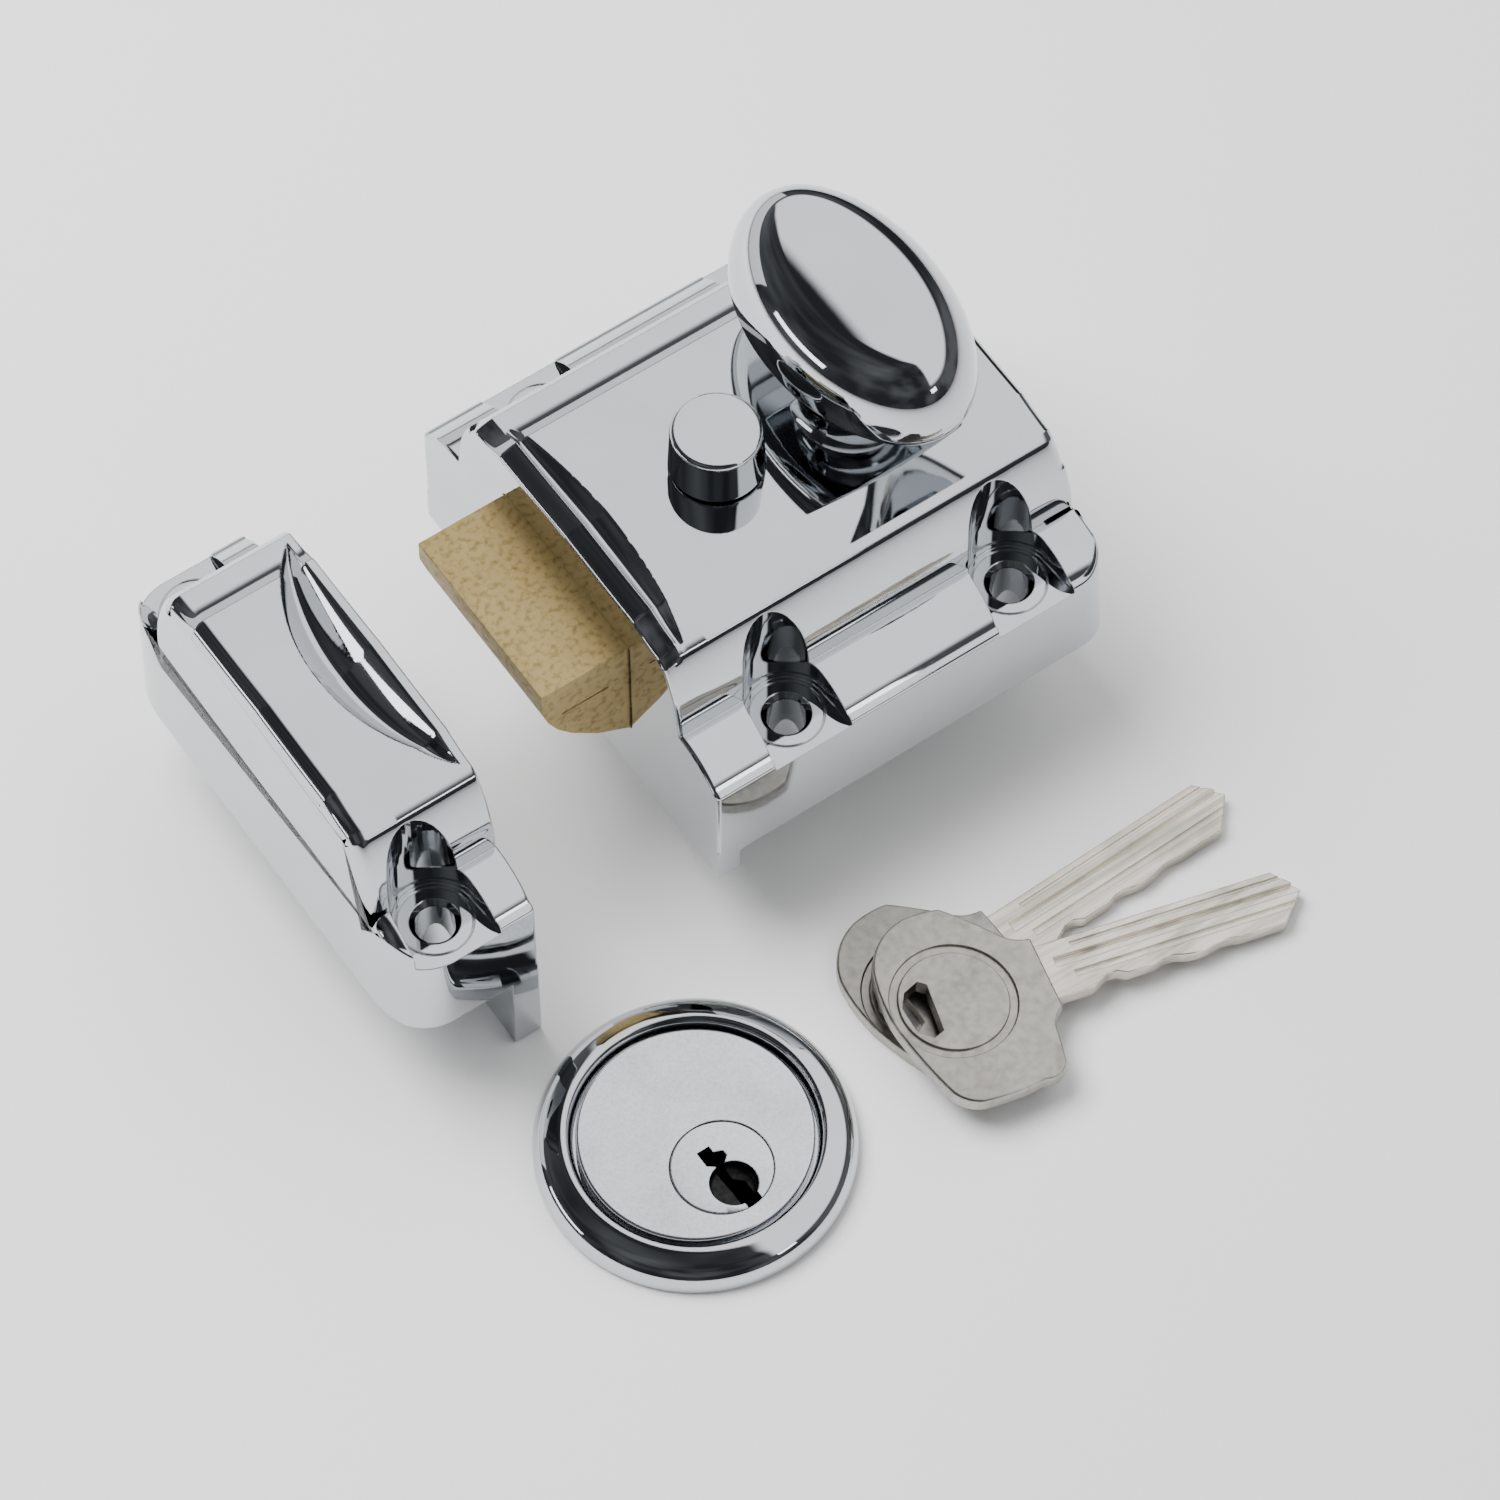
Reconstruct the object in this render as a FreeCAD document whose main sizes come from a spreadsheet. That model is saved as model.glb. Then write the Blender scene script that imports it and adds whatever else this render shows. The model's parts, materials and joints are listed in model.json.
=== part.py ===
"""Rim night latch: lock case, staple, rim cylinder with its ring, and two keys.

Frame: the origin is on the door face under the middle of the case's front edge.
+X runs back from the door's edge along the bolt, +Z stands off the door, and
Y runs up the door. All sizes are in millimetres.
"""
import FreeCAD, Part
import math
import os
import re
import Sketcher

os.makedirs("parts", exist_ok=True)
doc = FreeCAD.newDocument("NightLatch")
Vector = FreeCAD.Vector

# ---------------------------------------------------------------- driving sizes
DRIVING_SIZES = {
    # case
    "half_width": 33.75, "case_length": 62.4, "rear_draft": 2.2, "rim_height": 14.4,
    "cove_mid_y": 25.27, "cove_mid_z": 19.1, "cove_low_radius": 10, "cove_high_radius": 22.83,
    "crest_y": 21.8, "crest_height": 31.2, "band_width": 1.1, "band_rise": 1.0,
    "roll_y": 15, "roll_height": 33.6, "roll_radius": 14.8, "top_height": 34, "crown_radius": 281,
    "flange_corner": 4.8, "block_corner": 3.5, "front_wall": 3.4, "lip_depth": 4,
    "cavity_half": 14.4, "cavity_rear": 57, "cavity_top": 30.8,
    "recess_half": 18.5, "recess_height": 4.2, "mouth_low": 6.2, "mouth_high": 25.8,
    "screw_front": 14.7, "screw_rear": 49.4, "screw_y": 27.6, "screw_hole": 5.3,
    "screw_seat": 14.3, "seat_radius": 5.5, "seat_flare": 0.4, "scoop_depth": 1.3,
    "scoop_width": 4.6, "scoop_reach": 20, "scoop_start": 0.6, "rear_round": 1.6,
    "detent_track": 0.8,
    # back plates
    "cap_base": 2.6, "cap_thick": 1.5, "cap_screw_front": 9, "cap_screw_rear": 50,
    "cap_screw_y": 16.4, "cap_screw": 2.4, "cap_head": 3.8, "cap_head_high": 1.2,
    "cap_shank": 7, "slit_width": 0.7, "rail_inner": 9.5, "rail_outer": 12.5, "plate_thick": 1.3,
    "plate_front": 26, "plate_half": 16.4, "plate_window": 5.5, "plate_slot": 2.6,
    "plate_slot_half": 3, "plate_hole": 2, "plate_hole_y": 12,
    # bolt and its drive
    "bolt_half": 14, "bolt_low": 6.5, "bolt_high": 25.5, "bolt_reach": 13.1, "bolt_back": 24,
    "bolt_nose": 22, "bevel_x": 5, "bevel_z": 12, "bevel_end": 1.5, "bevel_radius": 22,
    "bevel_curve": 14, "tail_low": 8, "tail_high": 12, "tail_end": 42.4, "fork_inner": 7.4,
    "fork_outer": 13.9, "arm_radius": 10.19, "arm_angle": 40, "arm_half": 1.3,
    "nose_radius": 2.2, "slot_gap": 0.45, "slot_end": 0.3, "spring_y": 9.5, "spring_z": 18.5,
    "spring_pocket": 3.4, "spring_radius": 2.7, "spring_wire": 0.8, "spring_seat": 5.2,
    "bridge_front": 38.2, "bridge_thick": 2.4, "bridge_inner": 6.6, "bridge_outer": 12.6,
    "bridge_foot": 13, "bridge_low": 23.5, "bridge_high": 27, "bridge_gap": 0.6,
    "guide_radius": 1.4, "guide_tip": 19.2,
    # spindle and knob
    "spindle_x": 43.8, "spindle_radius": 4, "spindle_foot": 12, "hub_radius": 5.6,
    "hub_foot": 4.4, "hub_low": 2.2, "hub_step": 4.6, "hub_top": 20, "hub_slot": 9,
    "pin_z": 16, "cross_pin": 1.2, "clip_radius": 6, "clip_inner": 3.4, "clip_thick": 0.9,
    "clip_drop": 1.6, "clip_opening": 3, "grub_z": 38.6, "grub_radius": 1.5, "grub_length": 2.1,
    "running_gap": 0.05, "knob_long": 20.5, "knob_short": 12.7, "knob_low": 42.3,
    "knob_high": 54.6, "knob_round": 5.4, "neck_radius": 6.2, "neck_flare": 8.6,
    "neck_gap": 0.35, "knob_socket": 7,
    # snib
    "snib_x": 21.7, "snib_rest": -2, "snib_travel": 4, "snib_radius": 6, "snib_top": 41.6,
    "snib_base": 34.2, "rivet_radius": 1.75, "slot_radius": 1.95, "peg_radius": 1.5,
    "peg_gap": 0.35, "peg_low": 23, "groove_low": 22.5, "ball_radius": 1.25,
    "ball_reach": 6, "ball_drop": 0.6, "ball_pocket": 4, "rivet_deep": 2, "detent_wire": 0.3,
    "detent_radius": 0.95, "slide_thick": 2.2, "slide_gap": 0.25, "slide_deep": 4.6,
    "slide_front": 5, "slide_rear": 9.5, "slide_half": 6, "block_half": 4, "block_front": 3,
    # staple
    "staple_left": -47, "staple_right": -27.5, "staple_draft": 1.1, "staple_lip": 15,
    "staple_lip_thick": 3.9, "staple_wall": 3.6, "pocket_half": 15.5, "pocket_low": 3.4,
    "pocket_high": 27.6, "staple_screw_x": -38.4, "staple_corner": 7, "staple_scoop": 2.4,
    "staple_scoop_half": 4.4, "staple_scoop_in": 5.6,
    # rim cylinder
    "cylinder_x": -21.1, "cylinder_y": -59.2, "ring_base": -15, "ring_radius": 20.7,
    "ring_height": 4.5, "ring_lip": 16.4, "face_radius": 15.2, "face_gap": 0.6,
    "ring_step": 0.9, "ring_curve": 8, "ring_seat": 1.8, "lip_curve": 1.4, "flange_low": 1.9,
    "body_radius": 14.2, "body_length": 26, "plug_radius": 6.6, "plug_offset": 5.9,
    "plug_length": 32, "keyway_width": 2.3, "keyway_step": 0.5, "keyway_depth": 25.5,
    "dish_radius": 3.1, "dish_y": 3, "pin_radius": 1.45, "pin_pitch": 4, "first_pin": 5.2,
    "pin_short": 0.2, "chamber_radius": 1.5, "driver_length": 5, "pin_wire": 0.38,
    "pin_coil": 1.03, "cover_half": 2.4, "cover_deep": 1.6, "cover_thick": 1.2,
    "cover_gap": 0.05, "tail_width": 6,
    "tail_thick": 1.6, "tail_reach": 40, "bar_seat": 5, "bar_gap": 0.05, "tail_pin_up": 2,
    "tail_pin_radius": 0.8, "groove_up": 4.4, "groove_wide": 1.2, "groove_deep": 1.2,
    "notch_first": 6, "notch_pitch": 6, "notch_deep": 0.4, "notch_wide": 0.7,
    "connect_x": 10.2, "connect_y": 4, "connect_hole": 4.2, "connect_depth": 12,
    "neck_step": 0.8, "neck_drop": 0.3, "keyway_high": 2.6, "keyway_mid": 1,
    "keyway_shelf": 0.6, "keyway_low": 3,
    # keys
    "key_thick": 2.4, "blade_thick": 2.1, "blade_half": 4.1, "blade_start": 14,
    "blade_end": 49.5, "tip_cut": 4, "tip_slope": 3, "flute_low": 0.2, "flute_high": 1.8,
    "flute_floor": 1.3, "first_cut": 21, "cut_flat": 0.7, "cut_rise": 0.5, "cut_scale": 0.55,
}

sizes = doc.addObject("Spreadsheet::Sheet", "Sizes")
for row, (alias, number) in enumerate(DRIVING_SIZES.items(), start=1):
    sizes.set("A%d" % row, alias)
    sizes.set("B%d" % row, str(number))
    sizes.setAlias("B%d" % row, alias)
doc.recompute()


def bound(expression):
    """Point every size name in an expression at the spreadsheet."""
    def link(match):
        word = match.group()
        return "Sizes." + word if word in DRIVING_SIZES else word
    return re.sub(r"[a-z][a-z_]*", link, str(expression))


def value(expression):
    """Number that an expression over the size names works out to."""
    return float(sizes.evalExpression(bound(expression)))


# ---------------------------------------------------------------- sketch helpers
def origin_plane(body, role):
    return next(item for item in body.Origin.OriginFeatures if item.Role == role)


def fix_point(sketch, geometry, position, across, up):
    """Tie a sketch point to its two coordinate expressions."""
    for kind, axis, expression in (("DistanceX", -2, across), ("DistanceY", -1, up)):
        number = value(expression)
        if abs(number) < 1e-9:
            sketch.addConstraint(Sketcher.Constraint("PointOnObject", geometry, position, axis))
            continue
        index = sketch.addConstraint(
            Sketcher.Constraint(kind, -1, 1, geometry, position, number))
        sketch.setExpression("Constraints[%d]" % index, bound(expression))


def arc_between(start, end, radius):
    """Arc of a radius from start to end: positive turns left, negative right."""
    chord = end.sub(start)
    middle = start.add(end).multiply(0.5)
    left = Vector(-chord.y, chord.x, 0).normalize()
    rise = math.sqrt(max(radius ** 2 - (chord.Length / 2) ** 2, 0))
    centre = middle.add(left.multiply(math.copysign(rise, radius)))
    first, last = (start, end) if radius > 0 else (end, start)
    begin = math.atan2(first.y - centre.y, first.x - centre.x)
    finish = math.atan2(last.y - centre.y, last.x - centre.x)
    circle = Part.Circle(centre, Vector(0, 0, 1), abs(radius))
    return Part.ArcOfCircle(circle, begin, finish if finish > begin else finish + 2 * math.pi)


def draw_outline(sketch, corners):
    """Closed outline; a corner is (across, up) or (across, up, radius of the side it starts).

    A side whose radius is "half" is a half circle that turns left from a level chord.
    """
    points = [Vector(value(corner[0]), value(corner[1]), 0) for corner in corners]
    sides = []
    for index, corner in enumerate(corners):
        start = points[index]
        end = points[(index + 1) % len(points)]
        if len(corner) == 2:
            geometry = sketch.addGeometry(Part.LineSegment(start, end))
            sides.append((geometry, 1, 2))
            continue
        half = corner[2] == "half"
        radius = start.distanceToPoint(end) / 2 if half else value(corner[2])
        geometry = sketch.addGeometry(arc_between(start, end, radius))
        sides.append((geometry, 1, 2) if radius > 0 else (geometry, 2, 1))
    for index, corner in enumerate(corners):
        before = sides[index - 1]
        side = sides[index]
        sketch.addConstraint(
            Sketcher.Constraint("Coincident", before[0], before[2], side[0], side[1]))
        fix_point(sketch, side[0], side[1], corner[0], corner[1])
    for corner, side in zip(corners, sides):
        if len(corner) == 2:
            continue
        if corner[2] == "half":
            index = sketch.addConstraint(
                Sketcher.Constraint("DistanceY", -1, 1, side[0], 3, value(corner[1])))
            sketch.setExpression("Constraints[%d]" % index, bound(corner[1]))
        else:
            index = sketch.addConstraint(
                Sketcher.Constraint("Radius", side[0], abs(value(corner[2]))))
            sketch.setExpression("Constraints[%d]" % index, bound("abs(%s)" % corner[2]))


def draw_circle(sketch, across, up, radius):
    centre = Vector(value(across), value(up), 0)
    geometry = sketch.addGeometry(Part.Circle(centre, Vector(0, 0, 1), value(radius)))
    fix_point(sketch, geometry, 3, across, up)
    index = sketch.addConstraint(Sketcher.Constraint("Radius", geometry, value(radius)))
    sketch.setExpression("Constraints[%d]" % index, bound(radius))


def new_sketch(body, name, role, offset="0"):
    sketch = body.newObject("Sketcher::SketchObject", name + "_sketch")
    sketch.AttachmentSupport = [(origin_plane(body, role), "")]
    sketch.MapMode = "FlatFace"
    if value(offset):
        sketch.setExpression("AttachmentOffset.Base.z", bound(offset))
    return sketch


def rectangle(left, low, right, high):
    return [(left, low), (right, low), (right, high), (left, high)]


def slot(across, low, high, radius):
    """Obround along the sketch's second axis, between two round centres."""
    left = "%s-(%s)" % (across, radius)
    right = "%s+(%s)" % (across, radius)
    return [(right, low), (right, high, "half"), (left, high), (left, low, "half")]


def extrude(body, name, role, start, end, outlines=(), circles=(), cut=False):
    """Pad, or pocket, outlines between two distances along the plane's world axis."""
    flipped = role == "XZ_Plane"
    sketch = new_sketch(body, name, role, "-(%s)" % end if flipped else start)
    for corners in outlines:
        draw_outline(sketch, corners)
    for across, up, radius in circles:
        draw_circle(sketch, across, up, radius)
    volume = body.Shape.Volume if cut else 0
    feature = body.newObject("PartDesign::Pocket" if cut else "PartDesign::Pad", name)
    feature.Profile = sketch
    feature.setExpression("Length", bound("(%s)-(%s)" % (end, start)))
    feature.Reversed = cut
    doc.recompute()
    if cut and body.Shape.Volume > volume - 1e-6:
        raise RuntimeError("%s cuts nothing" % name)
    return feature


def revolve(body, name, corners, centre=("0", "0"), cut=False):
    """Turn an outline of (radius, height) corners about the upright axis at centre."""
    sketch = new_sketch(body, name, "XZ_Plane", "-(%s)" % centre[1])
    draw_outline(sketch, [("%s+(%s)" % (centre[0], corner[0]),) + tuple(corner[1:])
                          for corner in corners])
    line = sketch.addGeometry(Part.LineSegment(Vector(value(centre[0]), -100, 0),
                                               Vector(value(centre[0]), 100, 0)), True)
    fix_point(sketch, line, 1, centre[0], "-100")
    fix_point(sketch, line, 2, centre[0], "100")
    feature = body.newObject("PartDesign::Groove" if cut else "PartDesign::Revolution", name)
    feature.Profile = sketch
    feature.ReferenceAxis = (sketch, ["Axis0"])
    feature.Angle = 360
    doc.recompute()
    return feature


def round_edges(body, name, radius, wanted):
    """Fillet the tip's edges that a test picks out."""
    base = body.Tip
    names = ["Edge%d" % (index + 1) for index, edge in enumerate(base.Shape.Edges)
             if wanted(edge)]
    feature = body.newObject("PartDesign::Fillet", name)
    feature.Base = (base, names)
    feature.setExpression("Radius", bound(radius))
    doc.recompute()
    return feature


# ---------------------------------------------------------------- solids helpers
SUBPARTS = {}


def subpart(item, name):
    """Keep an object as the sub-part of this name."""
    item.Label = name
    SUBPARTS[name] = item
    return item


def new_body(name):
    body = doc.addObject("PartDesign::Body", name)
    return subpart(body, name)


def place(item, x, y, z, axis="z"):
    for letter, expression in zip("xyz", (x, y, z)):
        item.setExpression("Placement.Base.%s" % letter, bound(expression))
    turn = {"z": (Vector(0, 0, 1), 0), "x": (Vector(0, 1, 0), 90), "y": (Vector(1, 0, 0), -90)}
    item.Placement.Rotation = FreeCAD.Rotation(*turn[axis])
    return item


def rod(name, x, y, z, radius, length, axis="z"):
    """Cylinder from a foot point along an axis."""
    item = doc.addObject("Part::Cylinder", name)
    item.setExpression("Radius", bound(radius))
    item.setExpression("Height", bound(length))
    return place(item, x, y, z, axis)


def block(name, x, y, z, size_x, size_y, size_z):
    item = doc.addObject("Part::Box", name)
    item.setExpression("Length", bound(size_x))
    item.setExpression("Width", bound(size_y))
    item.setExpression("Height", bound(size_z))
    return place(item, x, y, z)


def ball(name, x, y, z, radius):
    item = doc.addObject("Part::Sphere", name)
    item.setExpression("Radius", bound(radius))
    return place(item, x, y, z)


def cut_away(name, base, tool):
    item = doc.addObject("Part::Cut", name)
    item.Base = base
    item.Tool = tool
    return item


def join(name, pieces):
    item = doc.addObject("Part::MultiFuse", name)
    item.Shapes = pieces
    return item


def group(name, pieces):
    """Several separate solids that share one sub-part."""
    item = doc.addObject("Part::Compound", name + "_group")
    item.Links = pieces
    return subpart(item, name)


SPRING_CLEAR = 0.02


def coil(x, y, z, radius, wire, length, turns, axis="x", spin=0):
    """Coil spring with its foot at a point, as a wire swept round a helix."""
    helix = Part.makeHelix(length / turns, length, radius)
    section = Part.Wire(Part.makeCircle(wire / 2, Vector(radius, 0, 0), Vector(0, 1, 0)))
    spring = Part.Wire(helix).makePipeShell([section], True, True)
    turn = {"z": (Vector(0, 0, 1), 0), "x": (Vector(0, 1, 0), 90), "y": (Vector(1, 0, 0), -90)}
    aim = FreeCAD.Rotation(*turn[axis]).multiply(FreeCAD.Rotation(Vector(0, 0, 1), spin))
    spring.Placement = FreeCAD.Placement(Vector(x, y, z), aim)
    return spring


def springs(name, coils):
    item = doc.addObject("Part::Feature", name)
    item.Shape = Part.makeCompound(coils)
    return subpart(item, name)


# ---------------------------------------------------------------- flanged outlines
def flanged_outline(foot):
    """Section across a flanged cover: rims, coves, crests and the crowned top."""
    right = [
        ("half_width", foot),
        ("half_width", "rim_height", "-cove_low_radius"),
        ("cove_mid_y", "cove_mid_z", "-cove_high_radius"),
        ("crest_y", "crest_height"),
        ("crest_y-band_width", "crest_height+band_rise", "roll_radius"),
        ("roll_y", "roll_height", "crown_radius"),
    ]
    left = [
        ("-roll_y", "roll_height", "roll_radius"),
        ("-crest_y+band_width", "crest_height+band_rise"),
        ("-crest_y", "crest_height", "-cove_high_radius"),
        ("-cove_mid_y", "cove_mid_z", "-cove_low_radius"),
        ("-half_width", "rim_height"),
        ("-half_width", foot),
    ]
    return right + left


def upright(edge, x=None, y=None, low=None):
    """Whether an edge stands up at about this x, or y."""
    box = edge.BoundBox
    if box.ZLength < 2 or box.ZLength < 2 * max(box.XLength, box.YLength):
        return False
    middle = box.Center
    near_x = x is None or abs(middle.x - x) < 1.6
    near_y = y is None or abs(abs(middle.y) - y) < 0.2
    return near_x and near_y and (low is None or box.ZMin > low)


def screw_bay(x, y):
    """Outline of a screw's seat: round on the inboard side and open at the rim."""
    sign = "-" if y.startswith("-") else ""
    edge = sign + "(half_width+1)"
    near, far = (x + "-", x + "+") if not sign else (x + "+", x + "-")
    return [(near + "seat_radius", y, "half"), (far + "seat_radius", y),
            (far + "(seat_radius+seat_flare)", edge), (near + "(seat_radius+seat_flare)", edge)]


SCREW_POINTS = [(x, y) for x in ("screw_front", "screw_rear") for y in ("screw_y", "-screw_y")]


# ---------------------------------------------------------------- case
def make_case_shell():
    body = new_body("case_shell")
    extrude(body, "shell_block", "YZ_Plane", "0", "case_length", [flanged_outline("0")])
    trim = [("case_length", "0"), ("case_length+5", "0"), ("case_length+5", "top_height+2"),
            ("case_length-rear_draft*1.15", "top_height+2")]
    extrude(body, "rear_trim", "XZ_Plane", "-half_width-1", "half_width+1", [trim], cut=True)
    round_edges(body, "flange_corners", "flange_corner",
                lambda edge: upright(edge, x=value("case_length"), y=value("half_width")))
    round_edges(body, "rear_top_edge", "rear_round",
                lambda edge: edge.BoundBox.XMin > value("case_length") - 4
                and edge.BoundBox.ZMin > value("roll_height") - 0.2
                and edge.BoundBox.YLength > 20)
    extrude(body, "lip", "YZ_Plane", "0", "front_wall",
            [rectangle("-half_width", "-lip_depth", "half_width", "0")])
    extrude(body, "mechanism_space", "XY_Plane", "0", "cavity_top",
            [rectangle("front_wall", "-cavity_half", "cavity_rear", "cavity_half")], cut=True)
    extrude(body, "back_recess", "XY_Plane", "0", "recess_height",
            [rectangle("front_wall", "-recess_half", "cavity_rear", "recess_half")], cut=True)
    extrude(body, "bolt_mouth", "YZ_Plane", "0", "front_wall",
            [rectangle("-cavity_half", "mouth_low", "cavity_half", "mouth_high")], cut=True)
    extrude(body, "spindle_hole", "XY_Plane", "cavity_top-1", "top_height+1",
            circles=[("spindle_x", "0", "spindle_radius+running_gap")], cut=True)
    extrude(body, "snib_slot", "XY_Plane", "cavity_top-1", "top_height+1",
            [slot("snib_x", "snib_rest", "snib_rest+snib_travel", "slot_radius")], cut=True)
    extrude(body, "detent_groove", "XY_Plane", "cavity_top-1", "cavity_top+detent_track",
            [slot("snib_x+ball_reach", "snib_rest", "snib_rest+snib_travel",
                  "ball_radius+0.15")], cut=True)
    extrude(body, "screw_seats", "XY_Plane", "screw_seat", "crest_height",
            [screw_bay(x, y) for x, y in SCREW_POINTS], cut=True)
    extrude(body, "screw_holes", "XY_Plane", "0", "screw_seat",
            circles=[(x, y, "screw_hole/2") for x, y in SCREW_POINTS], cut=True)
    extrude(body, "cap_screw_holes", "XY_Plane", "recess_height-1", "recess_height+7",
            circles=[(x, y, "cap_screw/2") for x, y in CAP_SCREW_POINTS], cut=True)
    scoop = body.newObject("PartDesign::SubtractiveEllipsoid", "front_scoop")
    scoop.setExpression("Radius1", bound("scoop_depth"))
    scoop.setExpression("Radius2", bound("scoop_width/2"))
    scoop.setExpression("Radius3", bound("scoop_reach"))
    scoop.AttachmentSupport = [(origin_plane(body, "XY_Plane"), "")]
    scoop.MapMode = "FlatFace"
    scoop.setExpression("AttachmentOffset.Base.x", bound("scoop_width/2+scoop_start"))
    scoop.setExpression("AttachmentOffset.Base.z", bound("top_height-0.2"))
    doc.recompute()
    return body


CAP_SCREW_POINTS = [(x, y) for x in ("cap_screw_front", "cap_screw_rear")
                    for y in ("cap_screw_y", "-cap_screw_y")]


def make_cap_plate():
    """Steel plate that closes the back of the mechanism and carries the bolt's rails."""
    body = new_body("cap_plate")
    edge = "recess_half-0.2"
    extrude(body, "cap_sheet", "XY_Plane", "cap_base", "cap_base+cap_thick",
            [rectangle("front_wall+0.2", "-(%s)" % edge, "cavity_rear-0.2", edge)])
    rails = [("upper", "rail_inner", "rail_outer"), ("lower", "-rail_outer", "-rail_inner")]
    for side, low, high in rails:
        extrude(body, side + "_rail", "XY_Plane", "cap_base+cap_thick", "mouth_low",
                [rectangle("front_wall+1", low, "bridge_front-2", high)])
    extrude(body, "hub_hole", "XY_Plane", "cap_base-1", "cap_base+cap_thick+1",
            circles=[("spindle_x", "0", "hub_foot+running_gap")], cut=True)
    extrude(body, "cap_holes", "XY_Plane", "cap_base", "cap_base+cap_thick",
            circles=[(x, y, "cap_screw/2+0.1") for x, y in CAP_SCREW_POINTS], cut=True)
    return body


def make_cap_screws():
    pieces = []
    for number, (x, y) in enumerate(CAP_SCREW_POINTS, start=1):
        head = rod("cap_head_%d" % number, x, y, "cap_base-cap_head_high", "cap_head/2",
                   "cap_head_high")
        shank = rod("cap_shank_%d" % number, x, y, "cap_base-0.1", "cap_screw/2-0.02",
                    "cap_shank")
        slotted = block("cap_slit_%d" % number, "%s-cap_head" % x, "%s-slit_width/2" % y,
                        "cap_base-cap_head_high-0.1", "2*cap_head", "slit_width", "slit_width")
        screw = join("cap_blank_%d" % number, [head, shank])
        pieces.append(cut_away("cap_screw_%d" % number, screw, slotted))
    return group("cap_screws", pieces)


def make_mounting_plate():
    """Plate that the cylinder's connecting screws clamp to the back of the door."""
    body = new_body("mounting_plate")
    extrude(body, "plate_sheet", "XY_Plane", "0", "plate_thick",
            [rectangle("plate_front", "-plate_half", "cavity_rear-1", "plate_half")])
    extrude(body, "tail_bar_hole", "XY_Plane", "0", "plate_thick",
            circles=[("spindle_x", "0", "plate_window")], cut=True)
    extrude(body, "connecting_slots", "XY_Plane", "0", "plate_thick",
            [slot(x, "-plate_slot_half", "plate_slot_half", "plate_slot")
             for x in ("spindle_x-connect_x", "spindle_x+connect_x")], cut=True)
    extrude(body, "plate_screw_holes", "XY_Plane", "0", "plate_thick",
            circles=[("spindle_x", y, "plate_hole") for y in ("plate_hole_y", "-plate_hole_y")],
            cut=True)
    return body


def make_spring_bridge():
    """Bracket hung from the case roof that the latch springs push back against."""
    body = new_body("spring_bridge")
    rear = "bridge_front+bridge_thick"
    posts = [("upper", "bridge_inner", "bridge_outer"), ("lower", "-bridge_outer", "-bridge_inner")]
    for side, low, high in posts:
        extrude(body, side + "_post", "XY_Plane", "bridge_foot", "cavity_top",
                [rectangle("bridge_front", low, rear, high)])
    extrude(body, "bridge_bar", "XY_Plane", "bridge_low", "bridge_high",
            [rectangle("bridge_front", "-bridge_outer", rear, "bridge_outer")])
    extrude(body, "spindle_relief", "XY_Plane", "bridge_low-1", "bridge_high+1",
            circles=[("spindle_x", "0", "spindle_radius+bridge_gap")], cut=True)
    return body


def make_spring_guides():
    pieces = [rod("guide_%d" % number, "guide_tip", y, "spring_z", "guide_radius",
                  "bridge_front-guide_tip", "x")
              for number, y in enumerate(("spring_y", "-spring_y"), start=1)]
    return group("spring_guides", pieces)


def make_latch_springs():
    length = value("bridge_front-spring_seat") - value("spring_wire") - 0.3
    return springs("latch_springs", [
        coil(value("spring_seat") + value("spring_wire") / 2 + 0.1, side * value("spring_y"),
             value("spring_z"), value("spring_radius") - value("spring_wire") / 2,
             value("spring_wire"), length, 9)
        for side in (1, -1)])


# ---------------------------------------------------------------- bolt
def make_latch_bolt():
    """Brass bolt: bevelled nose, spring pockets, snib notches and a forked tail."""
    body = new_body("latch_bolt")
    nose = [("-bolt_reach", "bolt_nose", "bevel_radius"),
            ("-bolt_reach+bevel_x", "bevel_z", "bevel_curve"), ("bevel_end", "bolt_low"),
            ("bolt_back", "bolt_low"), ("bolt_back", "bolt_high"), ("-bolt_reach", "bolt_high")]
    extrude(body, "bolt_block", "XZ_Plane", "-bolt_half", "bolt_half", [nose])
    extrude(body, "tail_forks", "XY_Plane", "tail_low", "tail_high",
            [rectangle("bolt_back", "fork_inner", "tail_end", "fork_outer"),
             rectangle("bolt_back", "-fork_outer", "tail_end", "-fork_inner")])
    nose_x = "spindle_x-arm_radius*sin(arm_angle)"
    reach = "nose_radius+slot_gap"
    extrude(body, "arm_slot", "XY_Plane", "tail_low-1", "tail_high+1",
            [rectangle("%s-(%s)" % (nose_x, reach), "fork_inner-1", "%s+(%s)" % (nose_x, reach),
                       "arm_radius+nose_radius+slot_end")], cut=True)
    extrude(body, "spring_pockets", "YZ_Plane", "spring_seat", "bolt_back",
            circles=[("spring_y", "spring_z", "spring_pocket"),
                     ("-spring_y", "spring_z", "spring_pocket")], cut=True)
    half = "peg_radius+peg_gap"
    low_y = "snib_rest-(%s)" % half
    high_y = "snib_rest+(%s)" % half
    deep_y = "snib_rest+snib_travel+(%s)" % half
    forward = "snib_x-bolt_reach"
    extrude(body, "snib_groove", "XY_Plane", "groove_low", "bolt_high",
            [rectangle("%s-(%s)" % (forward, half), low_y, "snib_x+(%s)" % half, high_y)],
            cut=True)
    extrude(body, "snib_notches", "XY_Plane", "groove_low", "bolt_high",
            [rectangle("%s-(%s)" % (x, half), high_y, "%s+(%s)" % (x, half), deep_y)
             for x in (forward, "snib_x")], cut=True)
    return body


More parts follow.
